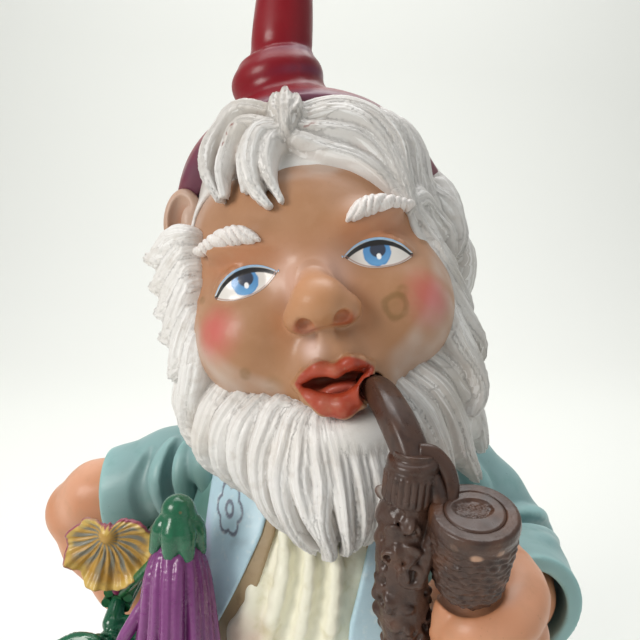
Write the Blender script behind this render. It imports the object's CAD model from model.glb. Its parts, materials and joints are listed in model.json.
"""A hand-painted vinyl garden gnome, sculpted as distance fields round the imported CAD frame.

Shapes are in millimetres until they become meshes, which are in metres like the frame.
"""
import json
import math
import bpy
import numpy as np
import openvdb as vdb
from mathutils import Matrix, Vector

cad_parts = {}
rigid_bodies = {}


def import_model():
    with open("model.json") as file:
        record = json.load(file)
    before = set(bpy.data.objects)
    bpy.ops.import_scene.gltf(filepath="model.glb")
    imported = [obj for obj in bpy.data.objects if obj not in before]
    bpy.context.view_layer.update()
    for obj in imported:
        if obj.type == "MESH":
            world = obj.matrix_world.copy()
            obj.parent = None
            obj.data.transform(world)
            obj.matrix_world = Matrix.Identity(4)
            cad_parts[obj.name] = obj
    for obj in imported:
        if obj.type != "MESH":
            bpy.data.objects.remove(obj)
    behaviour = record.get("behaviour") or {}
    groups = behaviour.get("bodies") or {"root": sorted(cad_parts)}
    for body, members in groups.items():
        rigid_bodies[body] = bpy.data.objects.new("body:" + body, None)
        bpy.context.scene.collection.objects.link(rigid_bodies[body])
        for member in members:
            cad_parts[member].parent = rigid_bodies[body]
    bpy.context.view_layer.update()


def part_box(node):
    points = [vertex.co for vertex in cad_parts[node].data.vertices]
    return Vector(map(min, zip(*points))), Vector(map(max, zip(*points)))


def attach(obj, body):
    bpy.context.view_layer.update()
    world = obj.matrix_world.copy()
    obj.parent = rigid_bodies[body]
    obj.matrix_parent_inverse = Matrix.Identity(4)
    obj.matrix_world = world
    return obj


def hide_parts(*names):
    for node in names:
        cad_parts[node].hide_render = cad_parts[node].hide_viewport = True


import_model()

MM = 0.001
COARSE = 1.0
FAR = 9.0  # distances are not kept beyond this many millimetres

# The head leans and tips back as it does in the design
HEAD_CENTRE = np.array([-1.5, -8.0, 275.0])
HEAD_ROLL = math.radians(12.4)
HEAD_PITCH = math.radians(14)


# ---------------------------------------------------------------- fields and shapes
def unit(vector):
    """A vector, or rows of vectors, at length one."""
    vector = np.asarray(vector, float)
    return vector / np.maximum(np.linalg.norm(vector, axis=-1, keepdims=True), 1e-9)


def smooth_min(first, second, blend):
    """The lower of two distances, rounded where they cross."""
    if blend <= 0:
        return np.minimum(first, second)
    near = np.maximum(blend - np.abs(first - second), 0) / blend
    return np.minimum(first, second) - near * near * blend / 4


def smoothstep(low, high, value):
    """0 below low, 1 above high and a soft rise between."""
    share = np.clip((value - low) / (high - low), 0, 1)
    return share * share * (3 - 2 * share)


class Shape:
    """A distance function and the box that holds its surface."""

    def __init__(self, low, high, distance):
        self.low = np.asarray(low, float)
        self.high = np.asarray(high, float)
        self.distance = distance


def turned(rx=0, ry=0, rz=0):
    """A rotation matrix from turns about X, then Y, then Z, in degrees."""
    cx, sx = math.cos(math.radians(rx)), math.sin(math.radians(rx))
    cy, sy = math.cos(math.radians(ry)), math.sin(math.radians(ry))
    cz, sz = math.cos(math.radians(rz)), math.sin(math.radians(rz))
    about_x = np.array([[1, 0, 0], [0, cx, -sx], [0, sx, cx]])
    about_y = np.array([[cy, 0, sy], [0, 1, 0], [-sy, 0, cy]])
    about_z = np.array([[cz, -sz, 0], [sz, cz, 0], [0, 0, 1]])
    return about_z @ about_y @ about_x


def ellipsoid(centre, radii, turn=None):
    """An ellipsoid, turned about its centre if a matrix is given."""
    centre = np.asarray(centre, float)
    radii = np.asarray(radii, float)
    reach = radii if turn is None else np.full(3, radii.max())

    def distance(points):
        local = points - centre
        if turn is not None:
            local = local @ turn
        scaled = np.linalg.norm(local / radii, axis=-1)
        slope = np.linalg.norm(local / radii ** 2, axis=-1)
        return scaled * (scaled - 1) / np.maximum(slope, 1e-6)

    return Shape(centre - reach, centre + reach, distance)


def rod(start, end, start_radius, end_radius):
    """A round rod with domed ends that tapers from one point to another."""
    start = np.asarray(start, float)
    end = np.asarray(end, float)
    along = end - start
    reach = max(start_radius, end_radius)

    def distance(points):
        local = points - start
        share = np.clip(local @ along / (along @ along), 0, 1)
        gap = np.linalg.norm(local - share[..., None] * along, axis=-1)
        return gap - (start_radius + (end_radius - start_radius) * share)

    return Shape(np.minimum(start, end) - reach, np.maximum(start, end) + reach, distance)


def chain(points, radii):
    """Rods from point to point."""
    rods = []
    for index in range(len(points) - 1):
        rods.append(rod(points[index], points[index + 1], radii[index], radii[index + 1]))
    return rods


def smooth_path(guides, count):
    """Rows of guide values made into count rows on a smooth curve through them."""
    guides = np.asarray(guides, float)
    padded = np.vstack([2 * guides[0] - guides[1], guides, 2 * guides[-1] - guides[-2]])
    rows = []
    for place in np.linspace(0, len(guides) - 1.0001, count):
        index = int(place)
        t = place - index
        a, b, c, d = padded[index:index + 4]
        rows.append(0.5 * (2 * b + (c - a) * t + (2 * a - 5 * b + 4 * c - d) * t * t
                           + (3 * b - a - 3 * c + d) * t ** 3))
    return np.array(rows)


class Lock(Shape):
    """A lock of carved hair: a flat tapering clump with ridges that follow its path."""

    def __init__(self, path, normals, width, depth, ridges=4, tip=0.0, root=0.5, groove=0.7, wave=0.0):
        self.path = np.asarray(path, float)
        self.normals = unit(normals)
        self.count = len(self.path)
        self.share = np.linspace(0, 1, self.count)
        self.ridges, self.groove, self.wave = ridges, groove, wave
        swell = root + (1 - root) * np.minimum(self.share / 0.3, 1) ** 0.7
        taper = tip + (1 - tip) * (1 - self.share ** 2.4) ** 0.75
        self.half_width = np.maximum(width * swell * taper / 2, 0.5)
        self.half_depth = np.maximum(depth * (0.5 + 0.5 * swell) * (0.35 + 0.65 * taper), 0.5)
        self.reach = max(self.half_width.max(), self.half_depth.max()) + 1
        self.length = np.linalg.norm(np.diff(self.path, axis=0), axis=1).sum()
        super().__init__(self.path.min(0) - self.reach, self.path.max(0) + self.reach, self.fill)

    def along_segment(self, index, points):
        """The distance, the place across and the place along one segment of the path."""
        start, end = self.path[index], self.path[index + 1]
        local = points - start
        along = end - start
        t = np.clip(local @ along / (along @ along), 0, 1)
        gap = local - t[..., None] * along
        normal = unit(self.normals[index] + self.normals[index + 1])
        side = unit(np.cross(along, normal))
        normal = np.cross(side, unit(along))
        w = self.half_width[index] + (self.half_width[index + 1] - self.half_width[index]) * t
        d = self.half_depth[index] + (self.half_depth[index + 1] - self.half_depth[index]) * t
        place = self.share[index] + (self.share[index + 1] - self.share[index]) * t
        across = gap @ side / w
        up = gap @ normal / d
        beyond = gap @ unit(along) / np.minimum(w, d)
        across = across + self.wave * np.sin(place * 7)
        size = np.sqrt(across ** 2 + up ** 2 + beyond ** 2)
        strand = np.abs(np.sin(math.pi * self.ridges * (across + 1) / 2))
        cutin = self.groove * (1 - strand ** 0.6)
        cutin = cutin * np.clip(up + 0.6, 0, 1) * np.clip(w / 3, 0.25, 1)
        return (size - 1) * np.minimum(w, d) + cutin, across, place * self.length

    def fill(self, points):
        """The distance at every point of a window of a grid."""
        best = np.full(points.shape[:-1], FAR, np.float32)
        grid_low = points[0, 0, 0]
        step = points[1, 1, 1] - grid_low
        for index in range(self.count - 1):
            low = np.minimum(self.path[index], self.path[index + 1]) - self.reach
            high = np.maximum(self.path[index], self.path[index + 1]) + self.reach
            first = np.clip(((low - grid_low) / step).astype(int), 0, points.shape[:3])
            last = np.clip(((high - grid_low) / step).astype(int) + 2, 0, points.shape[:3])
            if np.any(last <= first):
                continue
            part = tuple(slice(a, b) for a, b in zip(first, last))
            best[part] = np.minimum(best[part], self.along_segment(index, points[part])[0])
        return best


def comb_places(locks, points):
    """For each point, its nearest lock's place across and along in millimetres, number and nearness."""
    nearest = np.full(len(points), FAR)
    places = np.zeros((len(points), 4), np.float32)
    for number, one in enumerate(locks):
        near = np.flatnonzero(np.all((points > one.low - 3) & (points < one.high + 3), axis=1))
        for index in range(one.count - 1):
            reach = one.reach + 3
            low = np.minimum(one.path[index], one.path[index + 1]) - reach
            high = np.maximum(one.path[index], one.path[index + 1]) + reach
            local = near[np.all((points[near] > low) & (points[near] < high), axis=1)]
            if len(local) == 0:
                continue
            distance, across, along = one.along_segment(index, points[local])
            better = distance < nearest[local]
            chosen = local[better]
            nearest[chosen] = distance[better]
            places[chosen, 0] = across[better] * one.half_width.max()
            places[chosen, 1] = along[better]
            places[chosen, 2] = 7.0 * number
    places[:, 3] = 1 - smoothstep(0.4, 2.0, nearest)
    return places


class Sculpt:
    """A grid of signed distances that shapes are joined to and cut from."""

    def __init__(self, low, high, voxel):
        self.voxel = voxel * COARSE
        self.low = np.asarray(low, float)
        counts = np.ceil((np.asarray(high) - self.low) / self.voxel).astype(int) + 1
        self.field = np.full(counts, FAR, np.float32)

    def window(self, low, high):
        """The part of the grid inside a box, and its points."""
        first = np.floor((low - self.low) / self.voxel).astype(int)
        last = np.ceil((high - self.low) / self.voxel).astype(int) + 1
        first = np.clip(first, 0, np.array(self.field.shape) - 2)
        last = np.clip(last, first + 2, self.field.shape)
        part = tuple(slice(a, b) for a, b in zip(first, last))
        axes = [self.low[i] + self.voxel * np.arange(first[i], last[i]) for i in range(3)]
        points = np.stack(np.meshgrid(*axes, indexing="ij"), axis=-1).astype(np.float32)
        return part, points

    def add(self, shape, blend=0.0):
        """Join a shape, with a fillet as wide as blend."""
        part, points = self.window(shape.low - blend - 1, shape.high + blend + 1)
        self.field[part] = smooth_min(self.field[part], shape.distance(points), blend)

    def cut(self, shape, blend=0.0):
        """Take a shape away, with a rounded edge."""
        part, points = self.window(shape.low - blend - 1, shape.high + blend + 1)
        self.field[part] = -smooth_min(-self.field[part], shape.distance(points), blend)

    def keep(self, distance):
        """Keep what lies inside a distance function given over the whole grid."""
        part, points = self.window(self.low, self.low + self.voxel * np.array(self.field.shape))
        self.field[part] = np.maximum(self.field[part], distance(points))

    def blurred(self, radius):
        """The field averaged over a cube, for telling hollows from crests."""
        reach = max(1, int(round(radius / self.voxel)))
        result = np.clip(self.field, -FAR, FAR)
        for axis in range(3):
            edge = [(0, 0)] * 3
            edge[axis] = (reach + 1, reach)
            total = np.cumsum(np.pad(result, edge, mode="edge"), axis=axis, dtype=np.float64)
            upper = np.take(total, np.arange(2 * reach + 1, total.shape[axis]), axis=axis)
            lower = np.take(total, np.arange(0, total.shape[axis] - 2 * reach - 1), axis=axis)
            result = ((upper - lower) / (2 * reach + 1)).astype(np.float32)
        return result

    def surface(self):
        """Vertices in the sculpt's own millimetres, and quads."""
        padded = np.pad(self.field, 1, constant_values=FAR)
        grid = vdb.FloatGrid(background=FAR)
        grid.copyFromArray(padded)
        points, quads = grid.convertToQuads(isovalue=0.0)
        points = self.low + (points.astype(float) - 1) * self.voxel
        return points, quads[:, ::-1].astype(int)

    def sample(self, values, points):
        """Grid values read between the grid's points."""
        place = np.clip((points - self.low) / self.voxel, 0, np.array(values.shape) - 1.001)
        cell = place.astype(int)
        t = place - cell
        total = np.zeros(len(points))
        for corner in np.ndindex(2, 2, 2):
            weight = np.ones(len(points))
            for axis in range(3):
                weight *= t[:, axis] if corner[axis] else 1 - t[:, axis]
            index = cell + corner
            total += weight * values[index[:, 0], index[:, 1], index[:, 2]]
        return total


# The head's own directions, as rows
roll, pitch = HEAD_ROLL, HEAD_PITCH
head_x = np.array([math.cos(roll), 0, math.sin(roll)])
head_z = np.array([-math.sin(roll) * math.cos(pitch), math.sin(pitch), math.cos(roll) * math.cos(pitch)])
HEAD_AXES = np.array([head_x, np.cross(head_z, head_x), head_z])


def head_to_world(points):
    """Head points in world millimetres."""
    return HEAD_CENTRE + np.asarray(points) @ HEAD_AXES


def world_to_head(points):
    """World points in the head's own millimetres."""
    return (np.asarray(points) - HEAD_CENTRE) @ HEAD_AXES.T


# ---------------------------------------------------------------- meshes
def make_mesh(name, points, faces, material, smooth=True):
    """A mesh object from world millimetres."""
    mesh = bpy.data.meshes.new(name)
    mesh.from_pydata((np.asarray(points) * MM).tolist(), [], [list(face) for face in faces])
    mesh.validate()
    mesh.update()
    mesh.polygons.foreach_set("use_smooth", [smooth] * len(mesh.polygons))
    piece = bpy.data.objects.new(name, mesh)
    bpy.context.scene.collection.objects.link(piece)
    mesh.materials.append(material)
    return piece


def largest_parts(points, faces, smallest):
    """Drop loose crumbs: keep only connected parts with at least smallest vertices."""
    labels = np.arange(len(points))
    edges = np.vstack([faces[:, [0, 1]], faces[:, [1, 2]], faces[:, [2, 3]], faces[:, [3, 0]]])
    while True:
        lowest = labels.copy()
        np.minimum.at(lowest, edges[:, 0], labels[edges[:, 1]])
        np.minimum.at(lowest, edges[:, 1], labels[edges[:, 0]])
        lowest = lowest[lowest]
        if np.array_equal(lowest, labels):
            break
        labels = lowest
    _, index, counts = np.unique(labels, return_inverse=True, return_counts=True)
    keep = counts[index] >= smallest
    renumber = np.cumsum(keep) - 1
    faces = faces[keep[faces[:, 0]]]
    return points[keep], renumber[faces]


def set_values(piece, name, values):
    """A float stored on each vertex."""
    layer = piece.data.attributes.new(name, "FLOAT", "POINT")
    layer.data.foreach_set("value", np.asarray(values, np.float32))


def set_vectors(piece, name, vectors):
    """A vector stored on each vertex."""
    layer = piece.data.attributes.new(name, "FLOAT_VECTOR", "POINT")
    layer.data.foreach_set("vector", np.asarray(vectors, np.float32).ravel())


def set_colours(piece, name, colours):
    """A colour stored on each vertex."""
    layer = piece.data.attributes.new(name, "FLOAT_COLOR", "POINT")
    full = np.ones((len(colours), 4), np.float32)
    full[:, :3] = colours
    layer.data.foreach_set("color", full.ravel())


def sculpt_piece(name, sculpt, material, body, replaced=(), place=None, hollow=2.5, smallest=300):
    """Mesh a sculpt, with its hollows stored for the paint."""
    points, faces = sculpt.surface()
    points, faces = largest_parts(points, faces, smallest)
    world = place(points) if place else points
    piece = make_mesh(name, world, faces, material)
    set_values(piece, "hollow", -sculpt.sample(sculpt.blurred(hollow), points))
    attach(piece, body)
    if replaced:
        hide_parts(*replaced)
    return piece, points


def mix(first, second, share):
    """Blend two colours, or rows of them, by a share for each row."""
    share = np.asarray(share)[:, None]
    return np.asarray(first) * (1 - share) + np.asarray(second) * share


# ---------------------------------------------------------------- materials
class Paint:
    """A node material that layers noise, dirt and bump over a stored or plain colour."""

    def __init__(self, name, colour, rough=0.45, coat=0.0, specular=0.5, stored=None):
        self.material = bpy.data.materials.new(name)
        self.material.use_nodes = True
        self.tree = self.material.node_tree
        self.shader = self.tree.nodes["Principled BSDF"]
        self.shader.inputs["Roughness"].default_value = rough
        self.shader.inputs["Specular IOR Level"].default_value = specular
        self.shader.inputs["Coat Weight"].default_value = coat
        self.shader.inputs["Coat Roughness"].default_value = 0.12
        self.material.diffuse_color = (*colour, 1)
        place = self.tree.nodes.new("ShaderNodeTexCoord")
        self.position = place.outputs["Object"]
        self.plain = (*colour, 1)
        self.shader.inputs["Base Color"].default_value = self.plain
        self.height = None
        self.colour = None
        if stored:
            source = self.tree.nodes.new("ShaderNodeAttribute")
            source.attribute_name = stored
            self.colour = source.outputs["Color"]
            self.link_colour()

    def link_colour(self):
        """Send the present colour to the shader."""
        self.tree.links.new(self.colour, self.shader.inputs["Base Color"])

    def value(self, name):
        """A float stored on the vertices."""
        source = self.tree.nodes.new("ShaderNodeAttribute")
        source.attribute_name = name
        return source.outputs["Fac"]

    def noise(self, size, detail=3.0, stretch=None, distortion=0.0):
        """Noise with features about size millimetres wide."""
        node = self.tree.nodes.new("ShaderNodeTexNoise")
        node.inputs["Scale"].default_value = 1 / (size * MM)
        node.inputs["Detail"].default_value = detail
        node.inputs["Distortion"].default_value = distortion
        place = self.position
        if stretch:
            mapping = self.tree.nodes.new("ShaderNodeMapping")
            mapping.inputs["Scale"].default_value = stretch
            self.tree.links.new(place, mapping.inputs["Vector"])
            place = mapping.outputs["Vector"]
        self.tree.links.new(place, node.inputs["Vector"])
        return node.outputs["Fac"]

    def strands(self, size, length):
        """Noise drawn out along combed hair, size millimetres wide and length times as long."""
        source = self.tree.nodes.new("ShaderNodeAttribute")
        source.attribute_name = "comb"
        mapping = self.tree.nodes.new("ShaderNodeMapping")
        mapping.inputs["Scale"].default_value = (1 / size, 1 / (size * length), 1)
        self.tree.links.new(source.outputs["Vector"], mapping.inputs["Vector"])
        node = self.tree.nodes.new("ShaderNodeTexNoise")
        node.inputs["Scale"].default_value = 1.0
        node.inputs["Detail"].default_value = 2.0
        self.tree.links.new(mapping.outputs["Vector"], node.inputs["Vector"])
        return node.outputs["Fac"]

    def ramp(self, source, low, high, start=0.0, end=1.0):
        """A value remapped from low..high to start..end, with a soft shoulder."""
        node = self.tree.nodes.new("ShaderNodeMapRange")
        node.interpolation_type = "SMOOTHSTEP"
        node.inputs["From Min"].default_value = low
        node.inputs["From Max"].default_value = high
        node.inputs["To Min"].default_value = start
        node.inputs["To Max"].default_value = end
        self.tree.links.new(source, node.inputs["Value"])
        return node.outputs["Result"]

    def times(self, first, second):
        """Two values multiplied."""
        node = self.tree.nodes.new("ShaderNodeMath")
        node.operation = "MULTIPLY"
        for socket, value in zip(node.inputs, (first, second)):
            if isinstance(value, (int, float)):
                socket.default_value = value
            else:
                self.tree.links.new(value, socket)
        return node.outputs[0]

    def layer(self, colour, share, mode="MIX"):
        """Lay a colour over what is there, by a share that a node gives."""
        node = self.tree.nodes.new("ShaderNodeMix")
        node.data_type = "RGBA"
        node.blend_type = mode
        self.tree.links.new(share, node.inputs["Factor"])
        if self.colour is None:
            node.inputs["A"].default_value = self.plain
        else:
            self.tree.links.new(self.colour, node.inputs["A"])
        node.inputs["B"].default_value = (*colour, 1)
        self.colour = node.outputs["Result"]
        self.link_colour()

    def speckle(self, colour, size, detail, low, high, strength, stretch=None):
        """Lay a colour where a noise rises from low to high, up to a strength."""
        self.layer(colour, self.times(self.ramp(self.noise(size, detail, stretch), low, high), strength))

    def roughen(self, source, low, high):
        """Roughness between low and high by a value."""
        self.tree.links.new(self.ramp(source, 0.3, 0.7, low, high), self.shader.inputs["Roughness"])

    def bump(self, source, depth):
        """Relief with a depth in millimetres."""
        node = self.tree.nodes.new("ShaderNodeBump")
        node.inputs["Distance"].default_value = depth * MM
        node.inputs["Strength"].default_value = 1.0
        self.tree.links.new(source, node.inputs["Height"])
        if self.height is not None:
            self.tree.links.new(self.height, node.inputs["Normal"])
        self.height = node.outputs["Normal"]
        self.tree.links.new(self.height, self.shader.inputs["Normal"])


# ---------------------------------------------------------------- the face
SKIN = (0.385, 0.188, 0.088)
SKIN_PALE = (0.58, 0.37, 0.28)
SKIN_SHADE = (0.28, 0.11, 0.05)
BLUSH = (0.66, 0.07, 0.11)
LIP = (0.359, 0.042, 0.014)
MOUTH_DARK = (0.34, 0.060, 0.032)
EYE = np.array([24.6, -47.5, -5.2])
EYE_HALF_WIDTH = 12.2


def mirrored(values, side):
    """A head point on one side: side is -1 or 1."""
    return [values[0] * side, values[1], values[2]]


def eye_top(across):
    """Height of the upper lid's edge, for -1 at the inner corner to 1 at the outer."""
    return 5.3 * (1 - np.abs(across + 0.05) ** 2.2) - 0.6 * across


def eye_bottom(across):
    """Height of the lower lid's edge."""
    return -4.6 * (1 - np.abs(across - 0.15) ** 2.4) - 0.6 * across


def eye_place(points, side):
    """Across and up from an eye's middle, with across running outwards."""
    return (points[..., 0] * side - EYE[0]), (points[..., 2] - EYE[2])


def pipe_socket():
    """The straight way, as wide as the bit, that the pipe leaves by."""
    tip = np.array([18.2, -60.0, 241.0])
    forward = HEAD_AXES @ np.array([0, -1.0, 0])
    return rod(world_to_head(tip) - forward * 0.5, world_to_head(tip) + forward * 40, 5.0, 5.0)


LEFT_EAR = (-50, -15, 33)  # on the viewer's left
RIGHT_EAR = (61, 9, -4)


def face_sculpt():
    """The bare face with its nose, ears and open mouth, in head millimetres."""
    clay = Sculpt((-68, -76, -74), (74, 66, 72), 0.62)
    clay.add(ellipsoid((0, 0, 0), (50, 54, 61)))
    clay.add(ellipsoid((0, 3, 2), (59, 52, 59)), 6)
    for side in (-1, 1):
        clay.add(ellipsoid(mirrored((26, -28, -24), side), (25, 25, 24)), 9)
        clay.add(ellipsoid(mirrored((34, -20, -14), side), (17, 20, 18)), 8)
        clay.cut(ellipsoid(mirrored((23, -60, -3), side), (13, 9, 8)), 7)
        clay.add(ellipsoid(mirrored((22, -43.5, 9), side), (16, 8, 5.5), turned(0, -8 * side, 0)), 7)
    clay.add(ellipsoid((0, -27, -42), (27, 27, 22)), 10)
    clay.add(ellipsoid((0, -34, -62), (19, 16, 13)), 8)
    # eyeballs and lids
    for side in (-1, 1):
        clay.add(ellipsoid(mirrored((24.6, -38.5, -5), side), (14.5, 11.0, 10.5)), 2.5)
        lid = [mirrored((EYE[0] + 12.4 * a, 0, EYE[2] + 1.1 + eye_top(np.float64(a))), side)
               for a in np.linspace(-1, 1, 9)]
        for point in lid:
            depth = (point[0] * side - 24.6) / 14.5, (point[2] + 5) / 10.5
            point[1] = -38.0 - 11.0 * math.sqrt(max(0.05, 1 - depth[0] ** 2 - depth[1] ** 2))
        for part in chain(lid, [1.1, 1.4, 1.6, 1.7, 1.7, 1.6, 1.5, 1.3, 1.0]):
            clay.add(part, 2.0)
    # nose
    for part in chain([(0, -43, 2), (0, -48.5, -7), (0.3, -59, -17.5)], [4, 5.2, 8.4]):
        clay.add(part, 6)
    clay.add(ellipsoid((0.3, -61.5, -19.5), (10.2, 9.6, 8.4)), 4)
    for side in (-1, 1):
        clay.add(ellipsoid((0.6 + 8.4 * side, -57.5, -22.8), (5.6, 7.6, 5.4)), 3.5)
        clay.cut(ellipsoid((0.6 + 6.6 * side, -65.0, -26.6), (3.0, 3.8, 3.0), turned(20, 0, 15 * side)), 1.2)
    clay.add(rod((0.5, -60, -22), (0.5, -58, -29), 3.4, 2.4), 2)
    # the upper lip's pad with its groove
    clay.add(ellipsoid((0.6, -51, -36), (9, 6, 7)), 6)
    clay.cut(rod((0.8, -60.5, -30), (1.0, -60.5, -39), 2.2, 2.8), 3)
    # mouth
    clay.cut(ellipsoid((-0.5, -54, -46.8), (12.2, 12, 3.4), turned(8, 4, 0)), 1.5)
    clay.cut(ellipsoid((1.5, -55, -49.0), (8.2, 11, 3.4), turned(8, 4, 0)), 1.5)
    upper = [(-14.6, -50.4, -44.8), (-10.5, -54.0, -42.4), (-5.0, -57.0, -40.9), (0.8, -57.6, -43.0),
             (6.6, -57.2, -41.2), (10.4, -55.0, -41.6), (14.0, -51.0, -42.8)]
    for part in chain(upper, [0.9, 2.0, 2.7, 2.3, 2.6, 1.9, 0.9]):
        clay.add(part, 1.6)
    lower = [(-14.2, -50.2, -45.6), (-10.4, -53.6, -49.8), (-5.2, -56.4, -53.6), (1.0, -57.6, -55.4),
             (6.8, -56.6, -53.6), (11.0, -54.2, -49.2), (13.6, -51.0, -44.2)]
    for part in chain(lower, [1.0, 2.7, 3.9, 4.3, 3.9, 2.8, 1.2]):
        clay.add(part, 1.4)
    clay.add(ellipsoid((1.0, -46, -50.5), (8.5, 9, 3.2), turned(-12, 0, 0)), 1.5)
    # ears: a rolled rim round a hollow
    for centre, tilt in ((LEFT_EAR, 14), (RIGHT_EAR, -8)):
        side = math.copysign(1, centre[0])
        turn = turned(0, tilt, 24 * side)
        clay.add(ellipsoid(centre, (9.5, 6.5, 14.5), turn), 2)
        inside = np.array(centre) + np.array([0.4 * side, -5.2, 0.0])
        clay.cut(ellipsoid(inside, (5.8, 5.0, 10.8), turn), 1.4)
        clay.add(ellipsoid(np.array(centre) + (-3 * side, -3.4, -2), (3.6, 3.4, 7.5), turn), 1.5)
    # the pipe's bit sits in this socket
    clay.cut(pipe_socket(), 0.6)
    return clay


def face_edge(points):
    """How far head points lie outside the bare face, looking from the front."""
    x, z = points[..., 0], points[..., 2]
    cheeks = np.sqrt(((x + 2.0) / 43.0) ** 2 + ((z + 4) / 39) ** 2) * 41 - 41
    chin = np.sqrt(((x - 0.5) / 16) ** 2 + ((z + 47) / 12) ** 2) * 14 - 14
    temple = np.sqrt(((x + 25) / 20) ** 2 + ((z - 21) / 22) ** 2) * 20 - 20
    other = np.sqrt(((x - 24) / 18) ** 2 + ((z - 20) / 17) ** 2) * 17 - 17
    return smooth_min(smooth_min(cheeks, chin, 6), np.minimum(temple, other), 5)


def lip_distance(points):
    """How far head points lie outside the painted lips."""
    x, z = points[:, 0], points[:, 2]
    half = np.clip(np.abs(x) / 14.2, 0, 1)
    top = -38.6 - 1.8 * np.exp(-((x - 1.0) / 2.2) ** 2) - 5.6 * half ** 2.6
    bottom = -45.0 - 14.4 * (1 - half ** 2.3)
    outside = np.maximum(z - top, bottom - z)
    return np.maximum(outside, np.abs(x) - 14.2)


def spot(points, centre, radius, softness):
    """1 inside a round spot, fading to 0."""
    gap = np.linalg.norm(points - np.asarray(centre, float), axis=1)
    return 1 - smoothstep(radius - softness, radius + softness, gap)


def wobble(points, size, seed):
    """A smooth random number between -1 and 1 for each point."""
    total = np.zeros(len(points))
    source = np.random.default_rng(seed)
    for _ in range(4):
        direction = unit(source.normal(size=3))
        phase = source.uniform(0, 6.28, 3)
        bend = np.sin(points @ np.roll(direction, 1) / size * 1.7 + phase[1])
        total += np.sin(points @ direction / size * 2.3 + phase[0] + 1.5 * bend)
    return total / 4


def face_colours(points, hollow):
    """Paint for the face: airbrushed skin, blush, lips and the grime of years."""
    x, y, z = points.T
    colour = np.tile(np.array(SKIN), (len(points), 1))
    front = smoothstep(10, -30, y)
    shade = smoothstep(0.25, 1.6, hollow)
    colour = mix(colour, SKIN_SHADE, 0.75 * shade)
    pale = 0.45 * np.clip(wobble(points, 26, 3), 0, 1) + 0.35 * smoothstep(24, 40, z)
    colour = mix(colour, SKIN_PALE, pale * front)
    for side in (-1, 1):
        across, up = eye_place(points, side)
        socket = np.exp(-(across / 17) ** 2 - ((up - 9) / 6.5) ** 2)
        colour = mix(colour, (0.46, 0.17, 0.07), 0.7 * socket * front)
        bright = np.exp(-((across + 17) / 7) ** 2 - ((up + 3) / 9) ** 2)
        colour = mix(colour, (0.78, 0.50, 0.42), 0.5 * bright * front)
        nostril = spot(points, (0.6 + 6.4 * side, -61.5, -25.6), 4.6, 1.3)
        colour = mix(colour, (0.30, 0.045, 0.01), nostril)
    nose = spot(points, (0.3, -66, -17), 12, 5)
    colour = mix(colour, (0.50, 0.235, 0.105), 0.8 * nose)
    crease = np.exp(-((np.abs(x) - 15) / 4) ** 2 - ((z + 24) / 9) ** 2) * front
    colour = mix(colour, (0.50, 0.21, 0.09), 0.5 * crease)
    white = np.exp(-((x + 5.5) / 4.2) ** 2 - ((z + 34) / 4.5) ** 2) * front
    colour = mix(colour, (0.80, 0.58, 0.52), 0.7 * white)
    edge = face_edge(points)
    begin = 1 - 8 * smoothstep(5, 30, z)
    haze = smoothstep(begin, begin + 5, edge) * (0.7 + 0.4 * wobble(points, 5, 12)) * front
    colour = mix(colour, (0.60, 0.52, 0.47), 0.5 * np.clip(haze, 0, 1))
    for side in (-1, 1):
        colour = mix(colour, BLUSH, 0.9 * spot(points, mirrored((35.5, -42, -22.5 - 1.5 * side), side), 8.6,
                                               6.0))
    # grime
    for centre, radius, strength in (((26.5, -46, -25), 3.6, 0.30), ((30, -44, -20), 2.2, 0.6),
                                     ((-31.5, -44, -37), 2.0, 0.8), ((-44, -33, -5.5), 1.6, 0.75),
                                     ((44, -33, -1), 1.6, 0.7), ((-22, -48, -43), 3.4, 0.35)):
        flat = np.array((1, 0, 1))
        patch = spot(points * flat, np.array(centre) * flat, radius, radius * 0.45)
        patch *= (0.65 + 0.35 * wobble(points, 1.6, 7)) * (y < 0)
        colour = mix(colour, (0.20, 0.105, 0.025), strength * patch)
    ring = np.abs(np.hypot(x - 26.5, z + 25) - 4.0 - 0.7 * wobble(points, 3, 15))
    colour = mix(colour, (0.17, 0.09, 0.02), 0.55 * (1 - smoothstep(0.5, 1.7, ring)) * (y < 0))
    # lips, and the mouth behind them
    lips = 1 - smoothstep(-0.5, 0.6, lip_distance(points))
    lips = lips * smoothstep(-40, -46, y)
    shine = np.clip(wobble(points, 7, 5), 0, 1)[:, None] * 0.25
    lip_colour = np.array(LIP) * (1 - shine) + np.array([0.75, 0.22, 0.12]) * shine
    colour = colour * (1 - lips[:, None]) + lip_colour * lips[:, None]
    deep = smoothstep(-51.5, -46, y) * (1 - smoothstep(-0.6, 0.4, lip_distance(points)))
    colour = mix(colour, MOUTH_DARK, deep)
    colour = mix(colour, LIP, 0.8 * deep * smoothstep(8, 12, x))
    tongue = spot(points, (2.0, -51.5, -51.0), 7.0, 2.0) * smoothstep(-56, -53, z) * smoothstep(-47, -50, z)
    colour = mix(colour, (0.55, 0.13, 0.09), 0.75 * tongue * (y > -55.5))
    # ears
    ear = smoothstep(44, 50, np.abs(x)) * smoothstep(0.35, 1.3, hollow)
    colour = mix(colour, (0.46, 0.15, 0.04), 0.85 * ear)
    return colour


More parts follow.
